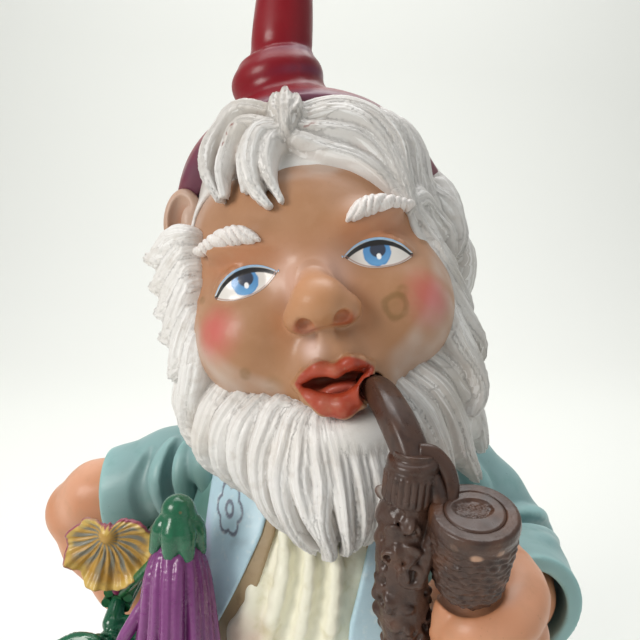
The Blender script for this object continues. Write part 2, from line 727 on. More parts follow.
def eye_colours(points, side):
    """Paint for one eye, in head millimetres on its surface."""
    across, up = eye_place(points, side)
    share = np.clip(across / EYE_HALF_WIDTH, -1.2, 1.2)
    lid = up - eye_top(np.clip(share, -1, 1))
    colour = np.tile(np.array([0.74, 0.70, 0.66]), (len(points), 1))
    colour = mix(colour, (0.50, 0.42, 0.38), smoothstep(-0.3, -1.0, share) * 0.55)
    # the gaze goes to the head's right and a little up on both eyes
    iris = np.hypot(points[:, 0] - side * EYE[0] + 0.2, up - 1.0)
    stroke = 0.25 * wobble(points, 1.1, 11)
    colour = mix(colour, (0.09, 0.27, 0.55), 1 - smoothstep(4.9, 5.3, iris + stroke))
    colour = mix(colour, (0.17, 0.42, 0.72), (1 - smoothstep(4.2, 5.2, iris)) * smoothstep(0, 6,
                                                                                           -up + 2) * 0.6)
    colour = mix(colour, (0.035, 0.045, 0.075), 1 - smoothstep(2.7, 3.1, np.hypot(
        points[:, 0] - side * EYE[0] - 0.3, up - 2.0)))
    glint = np.hypot((points[:, 0] - side * EYE[0] - 0.2) / 0.95, (up + 0.6) / 1.25)
    colour = mix(colour, (0.95, 0.95, 0.95), 1 - smoothstep(0.75, 1.05, glint))
    line = np.abs(lid + 0.65) - (1.05 - 0.35 * np.abs(share))
    colour = mix(colour, (0.012, 0.010, 0.010), 1 - smoothstep(-0.15, 0.2, line))
    colour = mix(colour, (0.30, 0.47, 0.66), smoothstep(0.25, 0.6, lid))
    under = np.abs(up - eye_bottom(np.clip(share, -1, 1)) - 0.1) - 0.22
    colour = mix(colour, (0.30, 0.13, 0.09), 0.7 * (1 - smoothstep(-0.1, 0.25, under)))
    return colour


skin = Paint("skin_paint", SKIN, rough=0.46, coat=0.10, stored="paint")
skin.speckle((0.46, 0.245, 0.135), 7, 4, 0.45, 0.75, 0.35)
skin.speckle((0.33, 0.17, 0.07), 1.3, 2, 0.68, 0.78, 0.35)
skin.roughen(skin.noise(9, 3), 0.38, 0.56)
skin.bump(skin.noise(0.9, 2), 0.02)
skin.bump(skin.noise(6, 2), 0.10)

face_clay = face_sculpt()
face, face_points = sculpt_piece("face", face_clay, skin.material, "figure", ["head"],
                                 head_to_world, hollow=3.0)
face_hollow = np.empty(len(face_points), np.float32)
face.data.attributes["hollow"].data.foreach_get("value", face_hollow)
set_colours(face, "paint", face_colours(face_points, face_hollow))

eye_paint = Paint("eye_paint", (0.75, 0.72, 0.68), rough=0.3, coat=0.4, stored="paint")
eye_paint.bump(eye_paint.noise(1.2, 2), 0.01)
EYE_STEP = 0.28


def face_front(across, up):
    """The depth of the face's front at each x and z."""
    depths = np.arange(-74, -24, 0.3)
    columns = np.stack([np.repeat(across, len(depths)), np.tile(depths, len(across)),
                        np.repeat(up, len(depths))], axis=1)
    values = face_clay.sample(face_clay.field, columns).reshape(len(across), len(depths))
    first = np.argmax(values < 0, axis=1)
    rows = np.arange(len(across))
    before, after = values[rows, first - 1], values[rows, first]
    return depths[first - 1] + 0.3 * before / (before - after)


def eye_patch(side):
    """A thin painted shell that lies on one eyeball between its lids."""
    columns = int(2 * EYE_HALF_WIDTH / (EYE_STEP * COARSE)) + 1
    rows = int(12 / (EYE_STEP * COARSE)) + 1
    share, level = np.meshgrid(np.linspace(-1, 1, columns), np.linspace(0, 1, rows), indexing="ij")
    share, level = share.ravel(), level.ravel()
    top = eye_top(share) + 1.3 * (1 - share ** 2)
    bottom = eye_bottom(share) - 0.25 * (1 - share ** 2)
    x = (EYE[0] + (EYE_HALF_WIDTH + 0.8) * share) * side
    z = EYE[2] + bottom + (top - bottom) * level
    y = face_front(x, z)
    points = np.concatenate([np.stack([x, y - 0.22, z], axis=1), np.stack([x, y + 1.0, z], axis=1)])
    size = columns * rows
    faces = []
    for c in range(columns - 1):
        for r in range(rows - 1):
            corner = c * rows + r
            outer = (corner, corner + rows, corner + rows + 1, corner + 1)
            faces += [outer, tuple(index + size for index in reversed(outer))]
    rim = [c * rows for c in range(columns)]
    rim += [(columns - 1) * rows + r for r in range(1, rows)]
    rim += [c * rows + rows - 1 for c in range(columns - 2, -1, -1)]
    rim += list(range(rows - 2, 0, -1))
    for first, second in zip(rim, rim[1:] + rim[:1]):
        faces.append((second, first, first + size, second + size))
    if side < 0:
        faces = [tuple(reversed(quad)) for quad in faces]
    name = "eye_left" if side > 0 else "eye_right"
    piece = make_mesh(name, head_to_world(points), faces, eye_paint.material)
    set_colours(piece, "paint", eye_colours(points, side))
    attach(piece, "figure")


for side in (-1, 1):
    eye_patch(side)


# ---------------------------------------------------------------- hair and beard
HAIR_HEART = np.array([0.0, 3.0, 2.0])
HAT_BASE = np.array([-6.0, 6.0, 302.0])
HAT_TURN = turned(-8, -12.4, 0)
HAT_AXIS = HAT_TURN @ (0, 0, 1)
BEARD_HEART = world_to_head(np.array([4.0, -18.0, 216.0]))
HAIR_WHITE = (0.78, 0.76, 0.74)
HAIR_SHADE = (0.36, 0.30, 0.25)
HAIR_DEEP = (0.20, 0.115, 0.08)
HAIRLINE_Z = -28
HAIR_FRONT_Z = 20
HAIR_SIDE_Y = 12


LOCKS = []


def strand(sculpt, guides, width, depth, heart, sink=0.0, blend=1.0, **options):
    """Carve one lock through guide points, sunk towards the heart of the form it lies on."""
    reach = np.linalg.norm(np.diff(guides, axis=0), axis=1).sum()
    path = smooth_path(guides, max(9, int(reach / 3.2)))
    path = path - sink * unit(path - heart)
    one = Lock(path, path - heart, width, depth, **options)
    sculpt.add(one, blend)
    LOCKS.append(one)


def beside(guides, heart, across, lift):
    """Guide points moved sideways along the form, less towards the tip, and off it."""
    guides = np.asarray(guides, float)
    out = unit(guides - heart)
    side = unit(np.cross(np.gradient(guides, axis=0), out))
    share = np.linspace(0, 1, len(guides))[:, None]
    return guides + side * across * (1 - 0.6 * share) + out * lift


def clump(sculpt, guides, width, depth, heart=HAIR_HEART, ridges=3, sink=2.0, tip=0.0, root=0.5):
    """A broad lock with narrower ones riding on it."""
    guides = np.asarray(guides, float)
    strand(sculpt, guides, width * 1.15, depth, heart, sink=sink, blend=1.8, ridges=ridges, tip=tip,
           root=root)
    for across, lift, cut in ((-0.30, 0.5, 0), (0.02, 1.1, 1), (0.31, 0.6, 0)):
        inner = beside(guides, heart, across * width, lift)
        if cut and len(inner) > 4:
            inner = inner[1:]
        strand(sculpt, inner, width * 0.42, depth * 0.66, heart, sink=sink * 0.8, blend=0.5, ridges=1,
               tip=tip,
               root=0.3)


FRINGE = [  # guides, width, depth, ridges, tip
    ([(-33, -22, 54), (-22, -26, 62), (-10, -29, 64), (-3, -36, 58)], 12, 8, 4, 0.4),
    ([(4, -48, 48), (15, -44, 41), (26, -42.5, 35), (34.5, -41, 26), (41, -38, 14)], 9, 6, 3, 0.1),
    ([(6, -45, 52), (17, -42.5, 49), (29, -40, 44), (36.5, -39, 33), (40, -38.5, 20)], 9, 6, 3, 0.2),
    ([(7, -42, 55), (19, -40, 55), (30, -38, 50), (37, -37, 38), (40, -38, 24), (42, -37, 12)], 9, 8, 3, 0.2),
    ([(5, -38, 58), (15, -34, 61), (27, -33, 59), (37, -33, 52), (42.5, -34, 40), (43, -36, 27),
      (44, -36, 15)],
     12, 9, 4, 0.3),
    ([(-3, -49, 49), (-14, -47, 49), (-21, -47.5, 42), (-24, -48, 31)], 11, 4, 3, 0.0),
    ([(-5, -46, 55), (-16, -43, 58), (-26, -41, 52), (-31, -44, 42), (-32, -46, 31)], 8, 6, 2, 0.0),
    ([(-4, -39, 62), (-15, -36, 66), (-25, -34, 63), (-34, -36, 54), (-37, -40, 43), (-34.5, -44, 31)],
     10, 9, 3, 0.0),
    ([(0, -46, 51), (-9, -48, 50.5), (-15.5, -50.5, 40), (-15.5, -53, 29), (-10, -54.5, 20)], 9.5, 8, 3, 0.0),
    ([(0, -46, 50), (-6, -49, 45), (-8.5, -51.5, 34), (-5.5, -54, 21.5)], 7.5, 6, 2, 0.0),
    ([(1.5, -47, 49), (-1, -43.5, 59), (0.5, -38, 67)], 6.5, 7, 2, 0.6),
    ([(2, -47, 49), (3.5, -43.5, 60), (4.5, -38, 68)], 6.5, 8, 2, 0.6),
    ([(2.5, -47, 49), (7, -43, 58), (8, -38, 65)], 6, 7, 2, 0.5),
]
RIGHT_SIDE = [  # on the viewer's right, which is the gnome's left
    ([(28, -18, 64), (42, -20, 58), (48, -21, 47), (48.5, -23, 34), (48, -26, 20), (49, -29, 4)], 12, 9, 4,
     0.4),
    ([(38, -8, 64), (49, -10, 57), (54, -11, 45), (54, -14, 31), (55, -16, 18), (58, -17, 5)], 13, 9, 4, 0.4),
    ([(46, 4, 56), (56, 3, 46), (60, 1, 33), (61, -2, 20), (63, -4, 8)], 15, 9, 4, 0.4),
    ([(50, -16, 27), (59, -11, 21), (64.5, -9, 13), (66, -9, 3), (62, -12, -7)], 12, 9, 4, 0.0),
    ([(46, -33, 17), (50, -27, 18), (55, -21, 11), (60, -18, 3), (60, -18, -7)], 11, 8, 3, 0.0),
    ([(45.5, -34, 14), (48, -31, 5), (52, -27, -4), (57, -21, -10), (58, -18, -16)], 10, 8, 3, 0.0),
    ([(49, -30, -2), (51, -28, -10), (56, -20, -20), (60, -13, -29), (57, -13, -37)], 13, 9, 4, 0.0),
    ([(48, -30, -14), (51, -26, -25), (57, -18, -37), (60, -14, -48), (54, -15, -56)], 14, 10, 4, 0.0),
    ([(47, -32, -26), (49, -29, -38), (53.5, -22, -50), (55.5, -18, -64), (51, -19, -74)], 14, 10, 4, 0.0),
]
LEFT_SIDE = [
    ([(-45, -32, 21), (-51, -28, 21), (-59, -25, 17), (-66.5, -23, 20)], 13, 10, 3, 0.15),
    ([(-46, -32, 16), (-52, -28, 11), (-60, -25, 6), (-66.5, -22, 8)], 12, 10, 3, 0.15),
    ([(-46.5, -32, 9), (-53, -27, 2), (-60, -24, -4), (-67, -21, -3)], 12, 10, 3, 0.15),
    ([(-47, -32, 2), (-53, -28, -7), (-60, -24, -14), (-67, -20, -13)], 12, 10, 3, 0.15),
    ([(-48, -31, -9), (-54, -26, -18), (-60, -22, -27), (-66.5, -19, -31)], 13, 10, 4, 0.15),
    ([(-48, -32, -20), (-52, -29, -30), (-57, -25, -40), (-60.5, -22, -50), (-57, -23, -60)], 13, 10, 4, 0.0),
]
BEARD = [  # in world millimetres
    ([(-41, -33, 252), (-47, -33, 242), (-54, -31, 232), (-57, -28, 222), (-52, -29, 215)], 12, 10, 3, 0.0),
    ([(-38, -40, 244), (-44, -40, 233), (-50, -39, 224), (-53, -36, 213), (-46, -36, 203)], 12, 10, 3, 0.0),
    ([(-34, -47, 238), (-40, -48, 227), (-45, -48, 216), (-46, -46, 206), (-38, -44, 195)], 12, 10, 3, 0.0),
    ([(-27, -54, 236), (-33, -55, 226), (-37, -56, 217), (-38.5, -55, 205), (-30, -51, 193)], 11, 10, 3, 0.0),
    ([(-20, -58, 234), (-26, -60, 225), (-30, -62, 215), (-30.5, -62, 203), (-22, -58, 189)], 11, 10, 3, 0.0),
    ([(-14, -62, 232), (-18, -65, 224), (-22, -68, 214), (-23.5, -69, 201), (-20, -67, 190), (-13, -64, 181)],
     10, 10, 3, 0.0),
    ([(-9, -65, 229), (-12, -68, 220), (-15.5, -72, 209), (-15.5, -74, 197), (-11, -73, 185), (-5, -69, 177)],
     10, 10, 3, 0.0),
    ([(-5, -66, 227), (-7, -70, 218), (-8.5, -74, 208), (-7, -76.5, 196), (-2, -76, 184), (2, -72, 175)],
     9, 10, 3, 0.0),
    ([(-1, -66.5, 227), (-1, -71, 218), (-1, -75, 208), (1, -77.5, 196), (4, -77, 185), (5, -73, 176)],
     8.5, 10, 3, 0.0),
    ([(3, -66.5, 227), (5.5, -71, 218), (7.5, -75, 208), (9, -77.5, 196), (10, -76, 186), (8.5, -72, 178)],
     9, 10, 3, 0.0),
    ([(7, -66, 228), (11, -70, 219), (13.5, -73, 209), (15, -75, 197), (14, -73, 187), (11, -69, 180)],
     9, 10, 3, 0.0),
    ([(11, -65, 229), (16, -68, 220), (19, -71, 210), (20.5, -72, 199), (19, -70, 188), (16, -66, 181)],
     10, 10, 3, 0.0),
    ([(15, -63, 232), (22, -66, 222), (26, -68, 210), (28, -68, 198), (28, -65, 186)], 11, 10, 3, 0.0),
    ([(20, -60, 236), (29, -62, 224), (34, -63, 211), (38, -61, 199), (40, -57, 187)], 12, 10, 3, 0.0),
    ([(26, -55, 241), (36, -56, 230), (43, -56, 217), (48, -53, 204), (54, -48, 190)], 13, 10, 4, 0.0),
    ([(32, -50, 246), (43, -49, 236), (51, -47, 223), (57, -44, 209), (66, -38, 194)], 14, 10, 4, 0.0),
    ([(38, -44, 252), (49, -40, 242), (58, -36, 229), (65, -32, 215), (70, -28, 203)], 14, 10, 4, 0.0),
]


def envelope_point(azimuth, elevation, lift=0.0):
    """A head point on the hair's rounded outside, lifted off it."""
    a, e = math.radians(azimuth), math.radians(elevation)
    radii = np.array([62, 60, 66]) + lift
    return HAIR_HEART + radii * (math.cos(e) * math.sin(a), -math.cos(e) * math.cos(a), math.sin(e))


def hair_sculpt():
    """All the hair of the head and beard as one field, in head millimetres."""
    clay = Sculpt((-76, -94, -108), (82, 76, 80), 0.72)
    clay.add(ellipsoid(HAIR_HEART, (59, 56, 63)))
    clay.add(ellipsoid((0, 18, -26), (51, 42, 36)), 12)
    clay.add(ellipsoid(world_to_head((-2, -28, 212)), (45, 43, 33), turned(-14, 0, 0)), 8)
    clay.add(ellipsoid(world_to_head((26, -24, 216)), (40, 35, 33), turned(-14, 0, 0)), 10)
    clay.add(ellipsoid((1, -43, -66), (19, 13, 11)), 6)
    # leave the face bare
    part, points = clay.window(clay.low, np.array([82, 0, 80]))
    front = np.maximum(face_edge(points), points[..., 1] + 6)
    clay.field[part] = -smooth_min(-clay.field[part], front, 3)
    # the roll of hair over the forehead, and both temples
    clay.add(ellipsoid((2, -9, 45), (42, 34, 19)), 5)
    clay.cut(ellipsoid((-59, -18, 35), (13, 16, 17)), 3)
    clay.cut(ellipsoid((66, 8, -7), (11, 12, 12)), 3)
    for guides, width, depth, ridges, tip in FRINGE:
        guides = np.array(guides, float)
        guides[:, 0] += 4.5 * smoothstep(-12, -24, guides[:, 0])
        clump(clay, guides, width, depth, ridges=ridges, tip=tip, root=0.45, sink=0.35 * width)
    for locks, sink in ((RIGHT_SIDE, 5.5), (LEFT_SIDE, 1.5)):
        for guides, width, depth, ridges, tip in locks:
            clump(clay, guides, width, depth, ridges=ridges, tip=tip, root=0.6, sink=sink)
    for guides, width, depth, ridges, tip in BEARD:
        guides = np.array(guides, float)
        if -16 < guides[0, 0] < 16:
            start = (0.6 * guides[0, 0] + 1.0, -63.5, 233.8 - 0.12 * abs(guides[0, 0] - 3))
            guides = np.vstack([start, guides])
        pull = smoothstep(228, 190, guides[:, 2]) * (guides[:, 0] < 0)
        guides = guides + pull[:, None] * (4.0, 0, 2.0)
        clump(clay, world_to_head(guides), width * 1.1, depth, heart=BEARD_HEART,
              ridges=ridges, tip=tip, root=0.35, sink=2.2)
    # the back falls in overlapping tiers of locks
    source = np.random.default_rng(4)
    for top, drop, count, lift in ((-18, 34, 10, -1.5), (6, 34, 11, 0.5), (30, 34, 12, 1.5)):
        for index in range(count):
            azimuth = 84 + 192 * (index + 0.5) / count + source.uniform(-3, 3)
            swing = source.uniform(4, 9) * (1 if index % 2 else -1)
            guides = []
            for share in (0, 0.3, 0.6, 0.85, 1.0):
                bend = swing * math.sin(3.0 * share) - 0.6 * swing * share
                guides.append(envelope_point(azimuth + bend, top - drop * share, lift - 5 * share ** 3))
            clump(clay, guides, 18, 10, root=0.5, sink=1.0)
    # behind the ears the hair ends under the hat's edge
    part, points = clay.window(clay.low, np.array([82.0, 76, 80]))
    above = (head_to_world(points) - HAT_BASE) @ HAT_AXIS + 33
    under_hat = np.maximum(-above, 4 - points[..., 1])
    clay.field[part] = -smooth_min(-clay.field[part], under_hat, 2)
    clay.cut(pipe_socket(), 0.8)
    return clay


def hair_colours(points, hollow):
    """Off-white on the crests, dirty tan in the hollows, with a few rusty chips."""
    patches = wobble(points, 14, 21)
    shade = smoothstep(0.15, 1.7, hollow + 0.3 * patches)
    colour = mix(np.tile(np.array(HAIR_WHITE), (len(points), 1)), (0.66, 0.60, 0.53),
                 np.clip(0.5 * patches, 0, 0.5))
    colour = mix(colour, HAIR_SHADE, 0.8 * shade)
    colour = mix(colour, HAIR_DEEP, 0.75 * smoothstep(1.7, 3.2, hollow))
    x, y, z = points.T
    dull = np.clip(smoothstep(30, 56, z) + smoothstep(18, 40, x), 0, 1)
    colour = mix(colour, (0.36, 0.325, 0.285), 0.55 * dull * (0.75 + 0.35 * patches))
    warm = (0.40, 0.17, 0.07)
    for centre, radius in (((-24, -44, 47), 8), ((-31, -44, 36), 5), ((-4, -50, 34), 5.5),
                           ((34, -41, 38), 8)):
        recess = spot(points, centre, radius, radius * 0.6) * smoothstep(0.2, 1.8, hollow)
        colour = mix(colour, warm, 0.85 * recess)
    chips = smoothstep(0.62, 0.72, wobble(points, 1.5, 33)) * smoothstep(0.1, 0.4, wobble(points, 9, 8))
    chips *= smoothstep(40, 52, z) * smoothstep(-10, -28, y)
    return mix(colour, (0.24, 0.05, 0.04), 0.85 * chips)


hair = Paint("hair_paint", HAIR_WHITE, rough=0.42, coat=0.08, stored="paint")
near = hair.value("near")
hair.layer((0.46, 0.40, 0.35), hair.times(hair.times(hair.ramp(hair.strands(1.3, 22), 0.5, 0.72), 0.28),
                                          near))
hair.layer((0.90, 0.89, 0.88), hair.times(hair.times(hair.ramp(hair.strands(0.9, 30), 0.55, 0.66), 0.6),
                                          near))
hair.speckle((0.50, 0.44, 0.38), 5, 4, 0.5, 0.8, 0.4)
hair.speckle((0.20, 0.15, 0.12), 0.8, 2, 0.70, 0.80, 0.4)
hair.roughen(hair.noise(6, 3), 0.33, 0.52)
hair.bump(hair.times(hair.strands(0.8, 24), near), 0.25)
hair.bump(hair.noise(0.7, 3), 0.04)

hair_clay = hair_sculpt()
hair_blurred = hair_clay.blurred(3.0)


def combed(points, places, normals):
    """Fine grooves pressed into hair along the way it is combed."""
    across = places[:, 0] + 0.5 * np.sin(places[:, 1] / 6 + places[:, 2])
    groove = 1 - np.abs(np.sin(math.pi * across / 2.4)) ** 0.7
    return points - normals * (0.42 * groove * places[:, 3])[:, None]


def field_normals(sculpt, points):
    """The direction straight out of a sculpt's surface at each point."""
    reach = sculpt.voxel
    slopes = []
    for axis in range(3):
        step = np.zeros(3)
        step[axis] = reach
        slopes.append(sculpt.sample(sculpt.field, points + step) - sculpt.sample(sculpt.field, points - step))
    return unit(np.stack(slopes, axis=1))


def hair_piece(name, node, zone):
    """One closed piece of the hair: the whole field kept inside a zone."""
    clay = Sculpt(hair_clay.low, hair_clay.low + 1, hair_clay.voxel / COARSE)
    clay.field = hair_clay.field.copy()
    clay.keep(zone)
    points, faces = clay.surface()
    points, faces = largest_parts(points, faces, 400)
    normals = field_normals(hair_clay, points)
    places = comb_places(LOCKS, points)
    inside = hair_clay.sample(hair_clay.field, points) < -0.8
    hollow = -clay.sample(hair_blurred, points)
    shaped = np.where(inside[:, None], points, combed(points, places, normals))
    piece = make_mesh(name, head_to_world(shaped), faces, hair.material)
    set_colours(piece, "paint", hair_colours(points, hollow))
    set_vectors(piece, "comb", places[:, :3])
    set_values(piece, "near", places[:, 3])
    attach(piece, "figure")
    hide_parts(node)


OVERLAP = 0.5


def beard_zone(p):
    """Below the cheeks and in front of the neck."""
    return np.maximum(p[..., 2] - (HAIRLINE_Z + OVERLAP), p[..., 1] - (HAIR_SIDE_Y + OVERLAP))


def fringe_zone(p):
    """Above the brows and in front of the ears."""
    return np.maximum(HAIR_FRONT_Z - OVERLAP - p[..., 2], p[..., 1] - (HAIR_SIDE_Y + OVERLAP))


def side_zone(side):
    """Beside the face: side is -1 for the gnome's right and 1 for its left."""
    def zone(p):
        band = np.maximum(p[..., 2] - (HAIR_FRONT_Z + OVERLAP), HAIRLINE_Z - OVERLAP - p[..., 2])
        return np.maximum(np.maximum(band, p[..., 1] - (HAIR_SIDE_Y + OVERLAP)), -OVERLAP - side * p[..., 0])
    return zone


def back_zone(p):
    """Behind the ears."""
    return HAIR_SIDE_Y - OVERLAP - p[..., 1]


hair_piece("beard_locks", "beard", beard_zone)
hair_piece("fringe_locks", "hair_fringe", fringe_zone)
hair_piece("right_side_locks", "hair_right", side_zone(-1))
hair_piece("left_side_locks", "hair_left", side_zone(1))
hair_piece("back_locks", "hair_back", back_zone)


def brow(side):
    """A raised white eyebrow with slanting strokes, in head millimetres."""
    clay = Sculpt((-50, -64, -4), (-6, -24, 28), 0.4)
    guides = np.array([(-16.5, -52, 9.0), (-22.5, -51, 12.3), (-29.5, -48, 13.2), (-36.5, -43, 12.6),
                       (-43.5, -36, 12.8)])
    path = smooth_path(guides, 14)
    clay.add(Lock(path, path - HAIR_HEART, 8.5, 6.0, ridges=1, tip=0.15, root=0.25, groove=0.0), 0)
    part, points = clay.window(clay.low, np.array([-6.0, -24, 28]))
    phase = (points[..., 0] * 0.95 + points[..., 2] * 0.55 + 0.9 * np.sin(points[..., 0] * 0.5))
    carve = 0.7 * (1 - np.abs(np.sin(phase * 1.0)) ** 0.5)
    clay.field[part] += carve * (points[..., 1] < -20)
    points, faces = clay.surface()
    points, faces = largest_parts(points, faces, 200)
    hollow = -clay.sample(clay.blurred(1.2), points)
    if side > 0:
        points = points * (-1, 1, 1)
        faces = faces[:, ::-1]
    piece = make_mesh("brow_left" if side > 0 else "brow_right", head_to_world(points), faces, hair.material)
    colour = mix(np.tile(np.array((0.78, 0.73, 0.70)), (len(points), 1)), (0.36, 0.20, 0.15),
                 0.9 * smoothstep(0.0, 0.45, hollow))
    set_colours(piece, "paint", colour)
    set_vectors(piece, "comb", points * (2.0, 0.2, 0.6))
    set_values(piece, "near", np.ones(len(points)))
    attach(piece, "figure")


for side in (-1, 1):
    brow(side)


# ---------------------------------------------------------------- clothes
def shade_of(red, green, blue):
    """A linear colour from the 0 to 255 values a paint chart gives."""
    values = np.array([red, green, blue]) / 255
    return tuple(np.where(values <= 0.04045, values / 12.92, ((values + 0.055) / 1.055) ** 2.4))


TEAL = shade_of(132, 165, 166)
TEAL_SHADE = shade_of(90, 116, 108)
TEAL_LIGHT = shade_of(165, 212, 210)
LAPEL_BLUE = shade_of(186, 215, 228)
TAN = shade_of(160, 138, 106)
CREAM = shade_of(241, 238, 218)
TORSO_CENTRE = (0, -6)
TORSO_OUTLINE = smooth_path([(57, 86), (61, 100), (64, 125), (65, 148), (62, 170), (52, 191), (37, 205),
                             (24, 212)], 40)


def torso_distance(points):
    """Distance outside the chest, with soft gathers above and below the belt."""
    across = points[..., 0] - TORSO_CENTRE[0]
    deep = points[..., 1] - TORSO_CENTRE[1]
    wall = np.interp(points[..., 2], TORSO_OUTLINE[:, 1], TORSO_OUTLINE[:, 0])
    angle = np.arctan2(across, -deep)
    gather = np.exp(-((points[..., 2] - 112) / 15) ** 2)
    folds = 0.9 * gather * np.sin(17 * angle + 0.8 * np.sin(3 * angle))
    drape = 0.8 * np.sin(4 * angle + points[..., 2] / 17) * np.exp(-((points[..., 2] - 150) / 34) ** 2)
    return (np.hypot(across, deep) - wall - 0.5 * folds - drape) * 0.93


def outline_distance(outline, across, up):
    """Distance outside a closed outline of (across, up) points; it is negative inside."""
    nearest = np.full(across.shape, 1e6)
    inside = np.zeros(across.shape, bool)
    for (x0, z0), (x1, z1) in zip(outline, outline[1:] + outline[:1]):
        along = (x1 - x0, z1 - z0)
        share = ((across - x0) * along[0] + (up - z0) * along[1]) / (along[0] ** 2 + along[1] ** 2)
        share = np.clip(share, 0, 1)
        nearest = np.minimum(nearest, np.hypot(across - x0 - share * along[0], up - z0 - share * along[1]))
        if z0 != z1:
            crosses = (z0 > up) != (z1 > up)
            inside ^= crosses & (across < x0 + (up - z0) * along[0] / (z1 - z0))
    return np.where(inside, -nearest, nearest)


def garment(low, high, outline, inner, outer, voxel=0.9, round_edge=1.2):
    """A layer on the front of the chest, inside an outline of (x, z) points."""
    clay = Sculpt(low, high, voxel)
    part, points = clay.window(clay.low, np.array(high, float))
    chest = torso_distance(points)
    layer = np.maximum(chest - outer, inner - chest)
    edge = outline_distance(outline, points[..., 0], points[..., 2])
    edge = np.maximum(edge, points[..., 1] - 2)
    clay.field[part] = -smooth_min(-layer, -edge, round_edge)
    return clay


cloth = Paint("jacket_paint", TEAL, rough=0.5, coat=0.10, stored="paint")
cloth.speckle(shade_of(92, 140, 134), 11, 4, 0.48, 0.8, 0.45)
cloth.speckle(shade_of(70, 84, 70), 1.4, 3, 0.68, 0.8, 0.4)
cloth.roughen(cloth.noise(12, 3), 0.40, 0.60)
cloth.bump(cloth.noise(1.1, 3), 0.04)
cloth.bump(cloth.noise(9, 2), 0.15)


def teal_colours(points, hollow):
    """Airbrushed teal, paler on the crests, greyer under the arms and by the flowers."""
    colour = np.tile(np.array(TEAL), (len(points), 1))
    colour = mix(colour, TEAL_LIGHT, 0.55 * smoothstep(0.1, -1.6, hollow))
    colour = mix(colour, TEAL_SHADE, 0.75 * smoothstep(0.5, 2.2, hollow))
    colour = mix(colour, TEAL_SHADE, 0.7 * spot(points, (-70, -14, 160), 26, 18))
    colour = mix(colour, shade_of(40, 92, 72), 0.85 * spot(points, (-56, -44, 186), 16, 10))
    colour = mix(colour, shade_of(46, 84, 78), 0.8 * spot(points, (42, -58, 140), 24, 14))
    colour = mix(colour, shade_of(60, 58, 48), 0.8 * spot(points, (99, -44, 131), 5, 3.5)
                 * (0.6 + 0.4 * wobble(points, 2, 5)))
    return colour


OPENING = [(-14, 209), (14, 209), (22, 170), (26, 130), (30, 84), (-52, 84), (-44, 130), (-26, 170)]


def jacket_sculpt():
    """The open coat's body, a shell round the chest."""
    clay = Sculpt((-70, -76, 84), (70, 64, 214), 1.1)
    part, points = clay.window(clay.low, np.array([70.0, 64, 214]))
    chest = torso_distance(points)
    shell = np.maximum(chest - 1.0, -3.2 - chest)
    shell = np.maximum(shell, np.maximum(86 - points[..., 2], points[..., 2] - 211.5))
    opening = outline_distance(OPENING, points[..., 0], points[..., 2])
    opening = np.maximum(opening, points[..., 1] - 2)
    clay.field[part] = -smooth_min(-shell, opening, 1.5)
    return clay


def coloured(piece_and_points, colours, *values):
    """Paint a sculpted piece with a colour function of its points and hollows."""
    piece, points = piece_and_points
    hollow = np.empty(len(points), np.float32)
    piece.data.attributes["hollow"].data.foreach_get("value", hollow)
    set_colours(piece, "paint", colours(points, hollow, *values))
    return piece


coloured(sculpt_piece("coat", jacket_sculpt(), cloth.material, "figure", ["jacket"],
                      hollow=4), teal_colours)

collar_clay = Sculpt((-42, -46, 198), (42, 32, 219), 0.9)
for turn in range(24):
    first, second = 2 * math.pi * turn / 24, 2 * math.pi * (turn + 1) / 24
    ring = [(31 * math.sin(a), -6 - 31 * math.cos(a), 208 - 1.6 * math.cos(a)) for a in (first, second)]
    collar_clay.add(rod(ring[0], ring[1], 5.4 + 0.4 * math.sin(5 * first),
                        5.4 + 0.4 * math.sin(5 * second)), 0.5)
coloured(sculpt_piece("coat_collar", collar_clay, cloth.material, "figure",
                      ["jacket_collar"]), teal_colours)


def fold(sculpt, guides, radius, blend, raised=True):
    """A soft crease or ridge through guide points."""
    path = smooth_path(guides, 9)
    size = radius * np.sin(np.linspace(0.25, math.pi - 0.25, 9))
    for part in chain(path, size):
        if raised:
            sculpt.add(part, blend)
        else:
            sculpt.cut(part, blend)


def flower_sleeve():
    """The short sleeve on the arm that rests on the hip, hollow at its cuff."""
    clay = Sculpt((-116, -34, 146), (-26, 30, 214), 0.9)
    for part in chain([(-46, 0, 187), (-68, -1, 183), (-90, -2, 176), (-106, -3, 171)],
                      [21.5, 20.5, 19, 18.5]):
        clay.add(part, 4)
    clay.add(ellipsoid((-52, -8, 184), (17, 16, 22)), 8)
    for guides in ([(-58, -20, 205), (-60, -26, 190), (-56, -26, 172)],
                   [(-66, -14, 203), (-70, -23, 188), (-66, -23, 168)],
                   [(-52, -18, 206), (-50, -27, 196), (-46, -30, 182)]):
        fold(clay, guides, 3.2, 5)
    for guides in ([(-62, -17, 204), (-65, -25, 188), (-61, -26, 170)],
                   [(-76, -14, 198), (-80, -23, 182), (-76, -20, 164)]):
        fold(clay, guides, 2.2, 4, raised=False)
    for part in chain([(-90, -2.5, 175), (-120, -4, 167)], [15.6, 16]):
        clay.cut(part, 1.2)
    clay.cut(ellipsoid((-115, -4, 168), (19, 40, 46)), 1.5)
    return clay


coloured(sculpt_piece("flower_sleeve", flower_sleeve(), cloth.material, "figure",
                      ["flower_arm_sleeve"], hollow=4), teal_colours)


